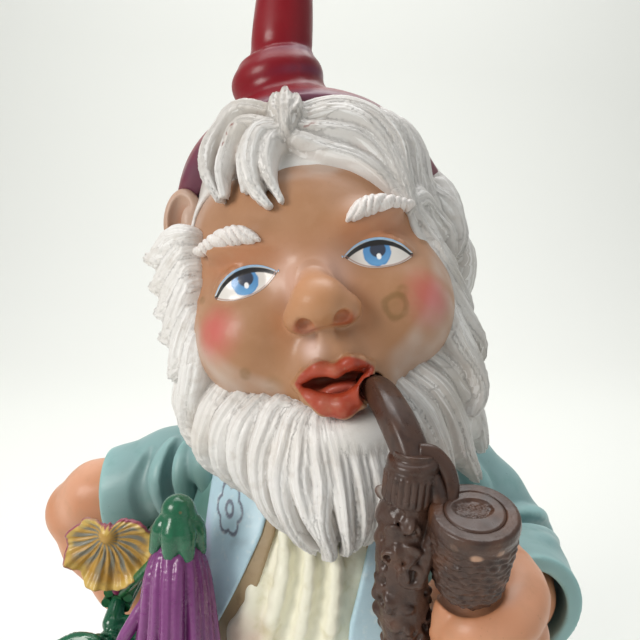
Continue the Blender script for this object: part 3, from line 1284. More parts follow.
def pipe_sleeve():
    """The bent sleeve of the arm that holds the pipe."""
    clay = Sculpt((24, -70, 126), (114, 32, 214), 0.95)
    for part in chain([(48, 3, 187), (60, 2, 184), (76, 0, 168), (90, -3, 150)], [22, 22, 21.5, 20]):
        clay.add(part, 3)
    for part in chain([(90, -3, 150), (86, -22, 151), (83, -42, 154), (79, -66, 156)], [20, 19.6, 19.4, 20]):
        clay.add(part, 3)
    for guides in ([(104, -8, 164), (92, -20, 170), (74, -20, 168)],
                   [(106, -18, 156), (92, -32, 166), (74, -32, 163)],
                   [(99, -30, 160), (90, -44, 168), (74, -46, 168)],
                   [(60, -16, 198), (70, -20, 186), (74, -18, 172)]):
        fold(clay, guides, 3.0, 5)
    for guides in ([(106, -13, 160), (92, -26, 169), (72, -26, 166)],
                   [(70, 12, 190), (84, 14, 172), (92, 12, 156)]):
        fold(clay, guides, 1.9, 4, raised=False)
    for part in chain([(80, -50, 154), (74, -80, 155.5)], [15.4, 16.6]):
        clay.cut(part, 1.2)
    # the cuff's mouth faces forward
    cuff = np.array([0.13, -0.985, 0.05])
    part, points = clay.window(clay.low, np.array([114.0, 32, 214]))
    beyond = (points - (77, -69.0, 155)) @ cuff
    clay.field[part] = -smooth_min(-clay.field[part], -beyond, 1.2)
    return clay


coloured(sculpt_piece("pipe_sleeve", pipe_sleeve(), cloth.material, "figure",
                      ["pipe_arm_sleeve"], hollow=4), teal_colours)

# lapels, with one small incised flower
FLOWER_MARK = (-35.5, 187.5)
LAPEL_RIGHT_OUTLINE = [(-15, 206), (-22, 182), (-40.5, 143), (-47, 126), (-50.5, 126), (-47.5, 143),
                       (-46.5, 172),
                       (-45, 198), (-37, 206)]
LAPEL_LEFT_OUTLINE = [(16, 206), (19, 182), (11, 152), (9, 126), (32, 126), (36, 143), (40, 172), (42, 198),
                      (35, 206)]


def flower_mark(points):
    """Depth of a six-petalled flower cut as a thin line, 0 to 1."""
    across, up = (points[..., 0] - FLOWER_MARK[0]) * 1.15, (points[..., 2] - FLOWER_MARK[1]) * 0.75
    radius, angle = np.hypot(across, up), np.arctan2(up, across)
    petals = 4.9 + 1.3 * np.abs(np.cos(3 * angle))
    line = np.minimum(np.abs(radius - petals), np.abs(radius - 1.7))
    return (1 - smoothstep(0.3, 0.75, line)) * (points[..., 1] < -30)


lapel = Paint("lapel_paint", LAPEL_BLUE, rough=0.45, coat=0.12, stored="paint")
lapel.speckle(shade_of(150, 170, 182), 8, 4, 0.5, 0.8, 0.5)
lapel.speckle(shade_of(226, 234, 236), 3, 3, 0.55, 0.8, 0.5)
lapel.roughen(lapel.noise(7, 3), 0.36, 0.55)
lapel.bump(lapel.noise(1.0, 3), 0.04)


def lapel_colours(points, hollow):
    """Pale blue with a violet overspray along the outer edge and a dark incised mark."""
    x, _, z = points.T
    colour = np.tile(np.array(LAPEL_BLUE), (len(points), 1))
    violet = smoothstep(-41.5, -45.5, x) * smoothstep(192, 166, z)
    colour = mix(colour, shade_of(150, 92, 158), 0.8 * violet)
    colour = mix(colour, TEAL_LIGHT, 0.5 * smoothstep(20, 34, x))
    return mix(colour, shade_of(96, 92, 112), 0.85 * flower_mark(points))


for name, node, outline, low, high in (
        ("lapel_mark_side", "lapel_right", LAPEL_RIGHT_OUTLINE, (-55, -76, 122), (-10, -8, 210)),
        ("lapel_pipe_side", "lapel_left", LAPEL_LEFT_OUTLINE, (4, -78, 122), (46, -8, 210))):
    clay = garment(low, high, outline, -0.5, 3.2, 0.6, 1.6)
    part, points = clay.window(clay.low, np.array(high, float))
    clay.field[part] += 0.55 * flower_mark(points)
    coloured(sculpt_piece(name, clay, lapel.material, "figure", [node], hollow=2),
             lapel_colours)

# the waistcoat's two edges
trim = Paint("waistcoat_paint", TAN, rough=0.55, stored="paint")
trim.speckle(shade_of(120, 96, 66), 6, 4, 0.5, 0.8, 0.6)
trim.roughen(trim.noise(7, 3), 0.42, 0.6)
trim.bump(trim.noise(1.2, 3), 0.06)
trim_clay = garment((-56, -76, 84), (36, -20, 212),
                    [(-12, 206), (-17, 182), (-30, 144), (-40, 112), (-43, 86), (-54, 86),
                    (-52, 112), (-43, 140), (-25, 180), (-17, 206)], -1.5, 1.7, 0.9)
other_clay = garment((-56, -76, 84), (36, -20, 212),
                     [(13, 206), (17, 182), (21, 144), (24, 112), (25, 86), (33, 86),
                     (31, 112), (27, 144), (24, 182), (18, 206)], -1.5, 1.7, 0.9)
trim_clay.field = np.minimum(trim_clay.field, other_clay.field)


def trim_colours(points, hollow):
    """Tan with darker hollows."""
    return mix(np.tile(np.array(TAN), (len(points), 1)), shade_of(96, 72, 46),
               0.6 * smoothstep(0.4, 1.6, hollow))


coloured(sculpt_piece("waistcoat_trim", trim_clay, trim.material, "figure",
                      ["waistcoat_edges"]), trim_colours)


# the shirt, creased where it is gathered
def shirt_sculpt():
    """The shirt front between the waistcoat's edges, with long uneven folds."""
    outline = [(-18, 208), (18, 208), (20, 176), (15, 150), (13, 120), (28, 108), (30, 86), (-50, 86),
               (-46, 112), (-38, 138), (-28, 172)]
    clay = garment((-54, -76, 84), (36, -4, 212), outline, -4.5, -0.6, 0.8)
    pleats = ([(-14, -62, 190), (-13, -68, 172), (-18, -71, 150), (-22, -70, 128)],
              [(-4, -66, 186), (-4, -70, 168), (-7, -71.5, 148), (-12, -70.5, 122)],
              [(6, -65, 186), (6, -70, 168), (4, -71.5, 148), (0, -70.5, 120)],
              [(-22, -60, 176), (-26, -66, 156), (-32, -64, 132), (-36, -60, 112)])
    for guides in pleats:
        fold(clay, guides, 2.6, 4)
    for guides in pleats[:3]:
        moved = [(x + 4.5, y - 2.0, z - 3) for x, y, z in guides]
        fold(clay, moved, 1.5, 3, raised=False)
    clay.add(ellipsoid((-24, -62, 142), (11, 7.5, 11), turned(0, 20, 0)), 6)
    clay.cut(rod((-34, -70, 146), (-15, -76, 152), 1.6, 1.2), 3)
    return clay


shirt = Paint("shirt_paint", CREAM, rough=0.5, coat=0.08, stored="paint")
shirt.speckle(shade_of(196, 186, 140), 7, 4, 0.5, 0.8, 0.55)
shirt.roughen(shirt.noise(6, 3), 0.40, 0.6)
shirt.bump(shirt.noise(0.9, 3), 0.05)


def shirt_colours(points, hollow):
    """Cream with olive hollows and a pinkish gathered patch."""
    colour = np.tile(np.array(CREAM), (len(points), 1))
    colour = mix(colour, shade_of(168, 158, 108), 0.8 * smoothstep(0.2, 1.5, hollow))
    pink = spot(points, (-27, -69, 143), 9, 8) * (0.7 + 0.3 * wobble(points, 4, 51))
    return mix(colour, shade_of(206, 164, 146), 0.75 * pink)


coloured(sculpt_piece("shirt_front_folds", shirt_sculpt(), shirt.material, "figure",
                      ["shirt_front"], hollow=2), shirt_colours)


# ---------------------------------------------------------------- arms and hands
ARM_SKIN = shade_of(200, 137, 100)
ARM_SHADE = shade_of(128, 72, 44)


def arm_colours(points, hollow):
    """Peach skin, browner in the creases and under the arm."""
    colour = np.tile(np.array(ARM_SKIN), (len(points), 1))
    colour = mix(colour, shade_of(232, 182, 156), 0.5 * np.clip(wobble(points, 16, 31), 0, 1))
    colour = mix(colour, ARM_SHADE, 0.85 * smoothstep(0.3, 1.7, hollow))
    return mix(colour, shade_of(150, 88, 42), 0.7 * spot(points, (-104, -16, 156), 10, 8))


def pipe_hand():
    """The fist under the bowl, open in front of the pipe so that the pipe can be drawn out."""
    clay = Sculpt((32, -114, 134), (86, -40, 196), 0.7)
    clay.add(ellipsoid((55, -82, 162), (20, 17, 18)), 0)
    clay.add(ellipsoid((61, -80, 165), (15, 19, 20)), 6)
    for height, reach, size in ((172, 0, 9.4), (158.5, 2.0, 9.6), (145.5, 1.0, 8.4)):
        finger = smooth_path([(66, -72, height + 4), (67, -90, height + 3), (60, -101 - reach, height + 1),
                              (49, -104 - reach, height - 1), (43, -98, height - 3)], 12)
        sizes = size * (1 - 0.14 * np.linspace(0, 1, 12) ** 2)
        for part in chain(finger, sizes):
            clay.add(part, 2.2)
    thumb = smooth_path([(52, -82, 150), (43, -90, 158), (40.5, -97, 168), (41.5, -100, 177)], 9)
    for part in chain(thumb, [9, 9, 8.6, 8.2, 8, 7.6, 7.0, 6.2, 5.0]):
        clay.add(part, 1.2)
    # the pipe's way out
    for part in chain([(30, -94, 130), (29, -94, 172), (26.5, -94, 200)], [8.6, 9.8, 10.2]):
        clay.cut(part, 0.6)
    for part in chain([(47.2, -99.3, 187), (46.8, -104.5, 200)], [12.4, 14.6]):
        clay.cut(part, 0.8)
    return clay


coloured(sculpt_piece("pipe_hand", pipe_hand(), skin.material, "figure", ["pipe_fist"],
                      hollow=3), arm_colours)

forearm_clay = Sculpt((56, -86, 134), (102, -28, 178), 0.9)
for part in chain([(82, -38, 153), (76, -56, 155), (68, -72, 158.5)], [15.5, 15.2, 14.0]):
    forearm_clay.add(part, 2)
coloured(sculpt_piece("pipe_forearm_skin", forearm_clay, skin.material, "figure",
                      ["pipe_forearm"]), arm_colours)


def flower_arm():
    """The bare arm from the short sleeve round to the hip."""
    clay = Sculpt((-135, -22, 92), (-66, 32, 192), 0.9)
    for part in chain([(-88, -2.5, 175.5), (-104, -1, 171), (-116, 5, 162)], [16, 16.6, 15.5]):
        clay.add(part, 4)
    for part in chain([(-118, 7, 158), (-112, 7, 143), (-97, 4, 124), (-81, 1, 106)],
                      [14.2, 13.5, 12.2, 9.6]):
        clay.add(part, 4)
    fold(clay, [(-112, -10, 158), (-104, -13, 155), (-97, -12, 153)], 1.6, 3, raised=False)
    clay.cut(rod((-82, -40, 148), (-82, 40, 148), 10.5, 10.5), 2)
    return clay


coloured(sculpt_piece("flower_arm_skin", flower_arm(), skin.material, "figure",
                      ["flower_forearm"], hollow=4), arm_colours)


def flower_hand():
    """The hand on the hip, its fingers curled back."""
    clay = Sculpt((-92, -26, 72), (-54, 22, 112), 0.6)
    clay.add(ellipsoid((-75, -1, 94), (9, 12, 9)), 0)
    clay.add(rod((-80, 1, 105), (-76, 0, 97), 9.4, 9), 3)
    for deep, low in ((-11, 84), (-4.5, 82), (2, 82), (8, 84)):
        finger = smooth_path([(-78, deep, 92), (-78, deep - 0.5, low + 2), (-71, deep - 1, low),
                              (-67, deep, low + 6)], 8)
        for part in chain(finger, [4.4, 4.4, 4.2, 4.1, 4.0, 3.9, 3.7, 3.3]):
            clay.add(part, 0.7)
    for part in chain([(-78, -8, 98), (-74, -14, 93), (-69, -14, 88)], [4.4, 4.2, 3.6]):
        clay.add(part, 1)
    return clay


coloured(sculpt_piece("flower_hand", flower_hand(), skin.material, "figure", ["flower_fist"],
                      hollow=2.4), arm_colours)


# ---------------------------------------------------------------- hat
HAT_BEND = HAT_BASE + 60 * HAT_AXIS
SHAFT_AXIS = HAT_TURN @ turned(0, 16, 0) @ (0, 0, 1)
HAT_CAP = smooth_path([(61.5, -4), (61, 6), (56.5, 17), (50, 30), (42.5, 39), (33, 46), (25, 50.5),
                       (21.5, 54),
                       (20.5, 58), (21.2, 62), (20.5, 66), (17.5, 70), (14, 73), (0, 75)], 60)
HAT_SHAFT = smooth_path([(14.8, 0), (15, 9), (13.8, 15), (13.9, 22), (13.2, 36), (11, 60), (7, 84), (3, 93),
                         (0, 94.5)], 50)
HAT_RED = shade_of(129, 7, 23)
HAT_DARK = shade_of(86, 10, 26)
HAT_GREY = shade_of(104, 72, 90)


def axis_distance(points, foot, axis, outline, squash=0.8):
    """Distance outside an outline of (radius, height) turned about any axis."""
    local = points - foot
    height = local @ axis
    radius = np.linalg.norm(local - height[..., None] * axis, axis=-1)
    wall = np.interp(height, outline[:, 1], outline[:, 0])
    ends = np.maximum(outline[0, 1] - height, height - outline[-1, 1])
    return np.maximum((radius - wall) * squash, ends)


def hat_sculpt():
    """The cap and its bent shaft, with soft dents, cut back over the fringe."""
    low, high = (-72, -62, 262), (66, 76, 462)
    clay = Sculpt(low, high, 1.1)
    part, points = clay.window(clay.low, np.array(high, float))
    angle = np.arctan2(points[..., 0] - HAT_BASE[0], points[..., 1] - HAT_BASE[1])
    height = (points - HAT_BASE) @ HAT_AXIS
    dents = 0.7 * np.sin(3 * angle + height / 15) * smoothstep(50, 15, height)
    cap = axis_distance(points, HAT_BASE, HAT_AXIS, HAT_CAP) + 0.6 * dents
    skirt = axis_distance(points, HAT_BASE, HAT_AXIS,
                          np.array([(60, -44), (61.5, -10), (61, 0), (59, 4)], float))
    shaft = axis_distance(points, HAT_BEND, SHAFT_AXIS, HAT_SHAFT, 0.95)
    solid = smooth_min(smooth_min(cap, shaft, 5), skirt, 3)
    head = points - HEAD_CENTRE
    head = head @ HEAD_AXES.T
    brim = -((head - (0, -36, 66)) @ np.array([0, 0.777, 0.629])) + 1.0
    solid = -smooth_min(-solid, -brim, 4)
    hollow_inside = np.linalg.norm((head - (0, 3, 2)) / (61, 56, 63), axis=-1) * 60 - 60
    clay.field[part] = -smooth_min(-solid, hollow_inside, 1)
    clay.cut(ellipsoid(head_to_world((-57, -22, 34)), (14, 15, 19)), 3)
    return clay


hat_paint = Paint("hat_paint", HAT_RED, rough=0.36, coat=0.10, specular=0.3, stored="paint")
hat_paint.speckle(shade_of(120, 12, 34), 24, 3, 0.45, 0.75, 0.5)
hat_paint.speckle(shade_of(168, 30, 44), 6, 5, 0.6, 0.85, 0.35)
hat_paint.roughen(hat_paint.noise(11, 3), 0.28, 0.46)
hat_paint.bump(hat_paint.noise(1.0, 3), 0.03)
hat_paint.bump(hat_paint.noise(11, 2), 0.2)


def hat_colours(points, hollow):
    """Crimson, darker towards one side, with the hair's grey overspray along the brim."""
    x = points[:, 0]
    head = world_to_head(points)
    height = (points - HAT_BASE) @ HAT_AXIS
    colour = np.tile(np.array(HAT_RED), (len(points), 1))
    colour = mix(colour, HAT_DARK, 0.55 * smoothstep(-14, 0, x) * smoothstep(46, 60, height))
    rings = np.exp(-((height - 71) / 2.2) ** 2) + 0.8 * np.exp(-((height - 60) / 2.0) ** 2)
    colour = mix(colour, shade_of(112, 60, 92), 0.6 * rings * smoothstep(-30, -4, x))
    colour = mix(colour, HAT_DARK, 0.7 * smoothstep(0.6, 2.0, hollow))
    brim = (head - (0, -36, 66)) @ np.array([0, 0.777, 0.629])
    spray = smoothstep(15, 1, brim + 3 * wobble(points, 13, 9))
    colour = mix(colour, HAT_GREY, 0.8 * spray)
    right = smoothstep(4, 42, x) * smoothstep(58, 30, height)
    return mix(colour, shade_of(150, 110, 112), 0.5 * right)


coloured(sculpt_piece("hat_shell", hat_sculpt(), hat_paint.material, "figure", ["hat"],
                      hollow=3), hat_colours)


# ---------------------------------------------------------------- pipe
PIPE_BROWN = shade_of(72, 51, 42)
PIPE_DARK = shade_of(34, 26, 24)
PIPE_LIGHT = shade_of(106, 84, 72)
PIPE_TAN = shade_of(178, 140, 116)
MOUTHPIECE = smooth_path([(17.2, -58, 241.2), (17.8, -64, 241), (21, -75, 240.4), (25, -87, 234.5),
                          (28.2, -94, 227.5),
                          (29.4, -96.2, 222)], 26)
PIPE_ROOT = np.array([29.5, -96.0, 224.0])
SHANK_KNEE = np.array([27.0, -96.0, 195.0])
SHANK_AXIS = unit(PIPE_ROOT - SHANK_KNEE)
BOWL_FOOT = np.array([47.2, -99.5, 186.0])
BOWL_TOP = np.array([46.7, -107.0, 212.0])
BOWL_AXIS = unit(BOWL_TOP - BOWL_FOOT)


def sweep(name, path, section, material, across_hint):
    """A closed tube: section(share) gives (side, up) offsets round each path point."""
    path = np.asarray(path, float)
    along = unit(np.gradient(path, axis=0))
    side = unit(np.cross(along, across_hint))
    up = np.cross(side, along)
    rings = [section(share) for share in np.linspace(0, 1, len(path))]
    count = len(rings[0])
    points = []
    for place, s, u, ring in zip(path, side, up, rings):
        points.append(place + ring[:, :1] * s + ring[:, 1:] * u)
    points = np.vstack(points + [path[:1], path[-1:]])
    faces = []
    for row in range(len(path) - 1):
        for column in range(count):
            a, b = row * count + column, row * count + (column + 1) % count
            faces.append((a, b, b + count, a + count))
    last = (len(path) - 1) * count
    for column in range(count):
        following = (column + 1) % count
        faces.append((following, column, len(points) - 2))
        faces.append((last + column, last + following, len(points) - 1))
    return make_mesh(name, points, faces, material), points


def squared(half_width, half_depth, power, count=48):
    """Points round a rounded rectangle."""
    angles = np.linspace(0, 2 * math.pi, count, endpoint=False)
    c, s = np.cos(angles), np.sin(angles)
    size = (np.abs(c) ** power + np.abs(s) ** power) ** (-1 / power)
    return np.stack([c * size * half_width, s * size * half_depth], axis=1)


def pipe_paint(name, rough):
    """Dark brown paint over cast wood texture."""
    paint = Paint(name, PIPE_BROWN, rough=rough, coat=0.2, specular=0.35, stored="paint")
    paint.speckle(shade_of(46, 32, 28), 5, 4, 0.45, 0.75, 0.7)
    paint.speckle(shade_of(122, 92, 72), 1.6, 4, 0.66, 0.8, 0.35)
    paint.roughen(paint.noise(4, 3), rough - 0.08, rough + 0.12)
    return paint


smooth_brown = pipe_paint("pipe_smooth_paint", 0.34)
smooth_brown.bump(smooth_brown.noise(0.7, 3), 0.03)
carved_brown = pipe_paint("pipe_carved_paint", 0.36)
carved_brown.bump(carved_brown.noise(1.3, 4), 0.25)


def pipe_colours(points, hollow):
    """Brown with dark hollows and rubbed crests."""
    colour = np.tile(np.array(PIPE_BROWN), (len(points), 1))
    colour = mix(colour, PIPE_LIGHT, 0.6 * smoothstep(-0.15, -0.9, hollow))
    colour = mix(colour, PIPE_DARK, 0.85 * smoothstep(0.15, 0.9, hollow))
    rust = np.clip(wobble(points, 5, 14), 0, 1)
    return mix(colour, shade_of(104, 62, 34), 0.5 * rust)


def mouthpiece_section(share):
    """Flat-sided, with a small bead at the bit."""
    bead = 0.7 * math.exp(-((share - 0.06) / 0.05) ** 2)
    size = 4.5 + 1.1 * min(share * 1.6, 1) + bead
    return squared(size, size * 0.86, 3.6)


bit, bit_points = sweep("pipe_bit", MOUTHPIECE, mouthpiece_section, smooth_brown.material, (0.35, -0.5, 0.8))
set_colours(bit, "paint", pipe_colours(bit_points, np.zeros(len(bit_points))))
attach(bit, "pipe")
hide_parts("pipe_mouthpiece")


def axis_frame(axis):
    """Two directions square to an axis; the first points to the viewer's right."""
    first = unit(np.cross((0, 1.0, 0), axis))
    return first, np.cross(axis, first)


def around(points, foot, axis):
    """Height along an axis, radius from it and the angle round it."""
    local = points - foot
    height = local @ axis
    first, second = axis_frame(axis)
    side, deep = local @ first, local @ second
    return height, np.hypot(side, deep), np.arctan2(deep, side)


def collar_sculpt():
    """A plain ring over a band with upright flutes."""
    low, high = (14, -112, 202), (46, -80, 232)
    clay = Sculpt(low, high, 0.32)
    part, points = clay.window(clay.low, np.array(high, float))
    height, radius, angle = around(points, PIPE_ROOT, SHANK_AXIS)
    flutes = 0.7 * np.abs(np.cos(12 * angle)) ** 0.6 * smoothstep(-13.5, -11.5, height) * smoothstep(-3,
                                                                                                     -4.5,
                                                                                                     height)
    band = np.maximum(radius - (8.4 + flutes), np.abs(height + 8.2) - 5.2)
    fold_height = 0.8 + 1.5 * np.cos(angle - 1.0)
    ring = np.hypot(np.maximum(radius - 6.4, 0),
                    np.maximum(np.abs(height + 1.6 - fold_height) - 0.8, 0)) - 2.0
    top = np.maximum(radius - 6.6, np.abs(height + 1) - 4)
    solid = smooth_min(smooth_min(band, ring, 1.0), top, 1)
    clay.field[part] = solid
    return clay


def carved_branch():
    """The shank with cast knots, leaves and a raised ring, and the strap's lower branch."""
    clay = Sculpt((12, -110, 138), (48, -80, 222), 0.36)
    path = smooth_path([(28.8, -96, 213), (26.8, -96.3, 200), (26.3, -96.3, 188), (27.6, -95.6, 172),
                        (29.6, -95, 158), (30.4, -94.5, 148)], 20)
    for part in chain(path, np.interp(np.linspace(0, 1, 20), (0, 0.45, 0.75, 1), (8.0, 8.3, 7.6, 5.6))):
        clay.add(part, 1)
    for part in chain(smooth_path([(35, -99.5, 219), (37.0, -101, 212), (35.6, -102.5, 203), (33, -103, 195),
                                   (30.5, -103.5, 187)], 14), np.linspace(2.9, 2.2, 14)):
        clay.add(part, 0.8)
    source = np.random.default_rng(12)
    for index in range(150):
        place = path[int(source.uniform(1, 19))] + (0, 0, source.uniform(-2, 2))
        angle = source.uniform(0, 2 * math.pi)
        outward = np.array([math.cos(angle), math.sin(angle), 0])
        place = place + outward * 7.7
        size = source.uniform((1.7, 1.2, 2.0), (3.4, 1.9, 4.2))
        spin = turned(source.uniform(-60, 60), source.uniform(-60, 60), source.uniform(0, 180))
        if index % 5 < 3:
            clay.add(ellipsoid(place, size, spin), 1.1)
        else:
            clay.cut(ellipsoid(place + outward * 0.9, size * 0.7, spin), 0.8)
    centre = np.array([28.2, -104.6, 190.0])
    for turn in range(20):
        a, b = 2 * math.pi * turn / 20, 2 * math.pi * (turn + 1) / 20
        clay.add(rod(centre + (3.2 * math.cos(a), 0, 3.2 * math.sin(a)),
                     centre + (3.2 * math.cos(b), 0, 3.2 * math.sin(b)), 1.25, 1.25), 0.3)
    return clay


def bowl_sculpt():
    """The bowl, wider at the rim, its sides rough-cut in short strokes."""
    low, high = (28, -126, 168), (66, -82, 220)
    clay = Sculpt(low, high, 0.4)
    part, points = clay.window(clay.low, np.array(high, float))
    height, radius, angle = around(points, BOWL_FOOT, BOWL_AXIS)
    outline = np.array([(0, -6.4), (5, -6), (9, -3.5), (11.1, 0), (12.1, 6), (12.9, 14), (13.5, 21),
                        (13.9, 24.5),
                        (13.5, 26.6), (12.6, 27.2)])
    wall = np.interp(height, outline[:, 1], outline[:, 0])
    strokes = np.sin(7.5 * height / 3 + 1.6 * np.sin(5 * angle) + 0.8 * np.sin(11 * angle + height))
    chips = np.sin(19 * angle + 2.6 * np.sin(height / 1.7)) * np.sin(height / 1.4 + 3 * angle)
    rough = smoothstep(24, 20, height)
    solid = np.maximum(radius - wall - rough * (0.32 * strokes + 0.26 * chips), height - 27.2)
    solid = np.maximum(solid, -6.4 - height)
    solid = -smooth_min(-solid, -np.maximum(radius - 30, -height - 6), 0.5)
    bore = np.maximum(radius - 9.3, 24.3 - height)
    clay.field[part] = -smooth_min(-solid, bore, 0.4)
    return clay


def lid_sculpt():
    """The flat lid, with a shallow cast dimple."""
    low, high = (34, -118, 204), (59, -96, 220)
    clay = Sculpt(low, high, 0.3)
    part, points = clay.window(clay.low, np.array(high, float))
    height, radius, angle = around(points, BOWL_FOOT, BOWL_AXIS)
    across, along = radius * np.cos(angle), radius * np.sin(angle)
    inner = np.hypot((across + 0.4) / 6.4, (along - 1.2) / 4.6)
    grain = 0.28 * np.sin(2.2 * across + 2 * np.sin(1.4 * along)) * np.sin(2.6 * along + across)
    dish = (0.8 + grain) * (1 - smoothstep(0.75, 1.05, inner))
    rounded = 0.5 * smoothstep(8.2, 9.5, radius) ** 2
    clay.field[part] = np.maximum(radius - 9.3, np.maximum(height - 27.4 + dish + rounded, 24 - height))
    return clay


def worn_rim(points, hollow):
    """The bowl's brown with two places rubbed through on the rim."""
    colour = pipe_colours(points, hollow)
    height, _, angle = around(points, BOWL_FOOT, BOWL_AXIS)
    for place, width, level, share in ((-1.72, 0.16, 21.2, 0.9), (-1.2, 0.10, 22.4, 0.6),
                                       (-2.2, 0.10, 23.2, 0.35)):
        patch = np.exp(-((angle - place) / width) ** 2 - ((height - level) / 1.5) ** 2)
        colour = mix(colour, PIPE_TAN, share * smoothstep(0.25, 0.75, patch + 0.25 * wobble(points, 2, 3)))
    return colour


def collar_colours(points, hollow):
    """Brown with dark flutes."""
    return mix(pipe_colours(points, 1.6 * hollow), PIPE_DARK, 0.4 * smoothstep(0.05, 0.35, hollow))


def shank_colours(points, hollow):
    """Carved brown, with the beard's white paint caught along one edge."""
    colour = pipe_colours(points, hollow)
    edge = np.exp(-((points[:, 1] + 94.5) / 1.2) ** 2) * (points[:, 0] < 25)
    white = edge * smoothstep(0.15, 0.5, wobble(points, 9, 17) + 0.35) * smoothstep(160, 172, points[:, 2])
    return mix(colour, shade_of(214, 206, 200), 0.9 * white)


for name, clay, material, node, size, colours in (
        ("pipe_collar_band", collar_sculpt(), smooth_brown, "pipe_collar", 0.8, collar_colours),
        ("pipe_branch", carved_branch(), carved_brown, "pipe_shank", 1.6, shank_colours),
        ("pipe_bowl_cut", bowl_sculpt(), carved_brown, "pipe_bowl", 1.4, worn_rim),
        ("pipe_bowl_lid", lid_sculpt(), smooth_brown, "pipe_lid", 0.9, pipe_colours)):
    coloured(sculpt_piece(name, clay, material.material, "pipe", [node], hollow=size), colours)

strap_guides = [(31, -97, 227), (35.5, -97.5, 226.5), (39.6, -98.5, 222), (41, -99.5, 216),
                (39.4, -100.5, 209.5)]
strap, strap_points = sweep("pipe_strap_loop", smooth_path(strap_guides, 22),
                            lambda share: squared(2.9 - 0.5 * share, 2.1, 2.6, 24), smooth_brown.material,
                            (0, -1, 0.3))
set_colours(strap, "paint", pipe_colours(strap_points, np.zeros(len(strap_points))))
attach(strap, "pipe")
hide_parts("pipe_strap", "pipe_ring")


# ---------------------------------------------------------------- bunch of flowers
LEAF_GREEN = shade_of(22, 92, 62)
LEAF_DARK = shade_of(8, 44, 34)
CALYX = np.array([-52.0, -70.0, 188.0])
TASSEL_FOOT = np.array([-52.0, -80.0, 118.0])
PANSY = np.array([-83.0, -53.0, 178.0])
BUNCH = np.array([-82.0, 0.0, 148.0])

leaf_paint = Paint("leaf_paint", LEAF_GREEN, rough=0.24, coat=0.4, stored="paint")
leaf_paint.speckle(shade_of(40, 126, 88), 5, 4, 0.5, 0.8, 0.6)
leaf_paint.speckle(shade_of(120, 92, 60), 2.2, 2, 0.72, 0.78, 0.5)
leaf_paint.roughen(leaf_paint.noise(4, 3), 0.16, 0.36)
leaf_paint.bump(leaf_paint.noise(1.0, 3), 0.05)


def green_colours(points, hollow):
    """Bottle green, nearly black in the hollows, pale on thin edges."""
    colour = np.tile(np.array(LEAF_GREEN), (len(points), 1))
    colour = mix(colour, LEAF_DARK, 0.85 * smoothstep(0.1, 1.2, hollow))
    return mix(colour, shade_of(92, 166, 136), 0.5 * smoothstep(-0.5, -1.3, hollow))


calyx_clay = Sculpt((-68, -84, 168), (-38, -56, 204), 0.4)
calyx_clay.add(ellipsoid(CALYX + (0.8, 0, 3.5), (6.8, 6.0, 9.4)))
calyx_clay.add(ellipsoid(CALYX + (0.6, 0, 9.0), (4.8, 4.4, 3.6)), 3)
for angle, long in ((-74, 8.0), (-10, 9.0), (34, 13.5), (96, 10), (160, 9), (228, 9)):
    outward = np.array([math.sin(math.radians(angle)), -math.cos(math.radians(angle)), 0])
    sepal = [CALYX + outward * (3, 3, 1) + (0.5, 0, 6), CALYX + outward * (6.4, 5.4, 1) + (0.5, 0, 1),
             CALYX + outward * (7.6, 6.4, 1) + (0.2, 0, -5), CALYX + outward * (8.8, 7.4, 1) + (0, 0, -long)]
    path = smooth_path(sepal, 10)
    calyx_clay.add(Lock(path, path - CALYX, 8.6, 3.4, ridges=1, tip=0.05, root=0.6, groove=0.0), 0.8)
coloured(sculpt_piece("tassel_cup", calyx_clay, leaf_paint.material, "flowers",
                      ["tassel_calyx"],
                      hollow=1.6), green_colours)

PURPLE = shade_of(120, 52, 114)
PURPLE_DARK = shade_of(92, 32, 84)
PURPLE_LIGHT = shade_of(166, 104, 164)
petal_paint = Paint("tassel_paint", PURPLE, rough=0.3, coat=0.3, stored="paint")
petal_paint.speckle(PURPLE_DARK, 5, 3, 0.5, 0.8, 0.5, (1, 1, 0.2))
petal_paint.roughen(petal_paint.noise(5, 3), 0.22, 0.42)
petal_paint.bump(petal_paint.noise(1.2, 2, (1, 1, 0.15)), 0.10)


def tassel_sculpt():
    """Long narrow petals that hang from the cup and spread."""
    clay = Sculpt((-78, -101, 108), (-26, -58, 188), 0.55)
    source = np.random.default_rng(8)
    clay.add(rod(CALYX + (0.5, -1, -6), TASSEL_FOOT + (-2, 2, 14), 5.5, 10.5))
    for ring, (count, foot, long) in enumerate(((9, 8.5, 70), (15, 13.5, 66))):
        for index in range(count):
            angle = 2 * math.pi * (index + 0.5 * ring + source.uniform(-0.15, 0.15)) / count
            out = np.array([math.sin(angle), -0.85 * math.cos(angle), 0])
            reach = foot + source.uniform(-1, 1.2)
            drop = long + source.uniform(-5, 3)
            sway = source.uniform(-2, 2, 2)
            guides = []
            for share in (0, 0.15, 0.4, 0.7, 1.0):
                centre = CALYX + (0, -1, -5) + (TASSEL_FOOT - CALYX) * (share * drop / 70)
                width = 4.2 + (reach - 4.2) * min(1, share * 1.25) ** 0.6
                bend = math.sin(share * 4) * sway[0]
                guides.append(centre + out * width + (bend * math.cos(angle), bend * math.sin(angle), 0))
            path = smooth_path(guides, 22)
            clay.add(Lock(path, path - (CALYX + TASSEL_FOOT) / 2 * (1, 1, 0) - (0, 0, 1) * path, 6.4, 4.4,
                          ridges=2, tip=0.1, root=0.5, groove=0.5), 0.35)
    stray = smooth_path([(-60, -74, 168), (-66, -77, 158), (-71, -79, 150), (-73, -79, 144)], 12)
    clay.add(Lock(stray, np.tile((0, -1.0, 0), (12, 1)), 5.6, 2.4, ridges=1, tip=0.3, root=0.5, groove=0.0),
             0.4)
    return clay


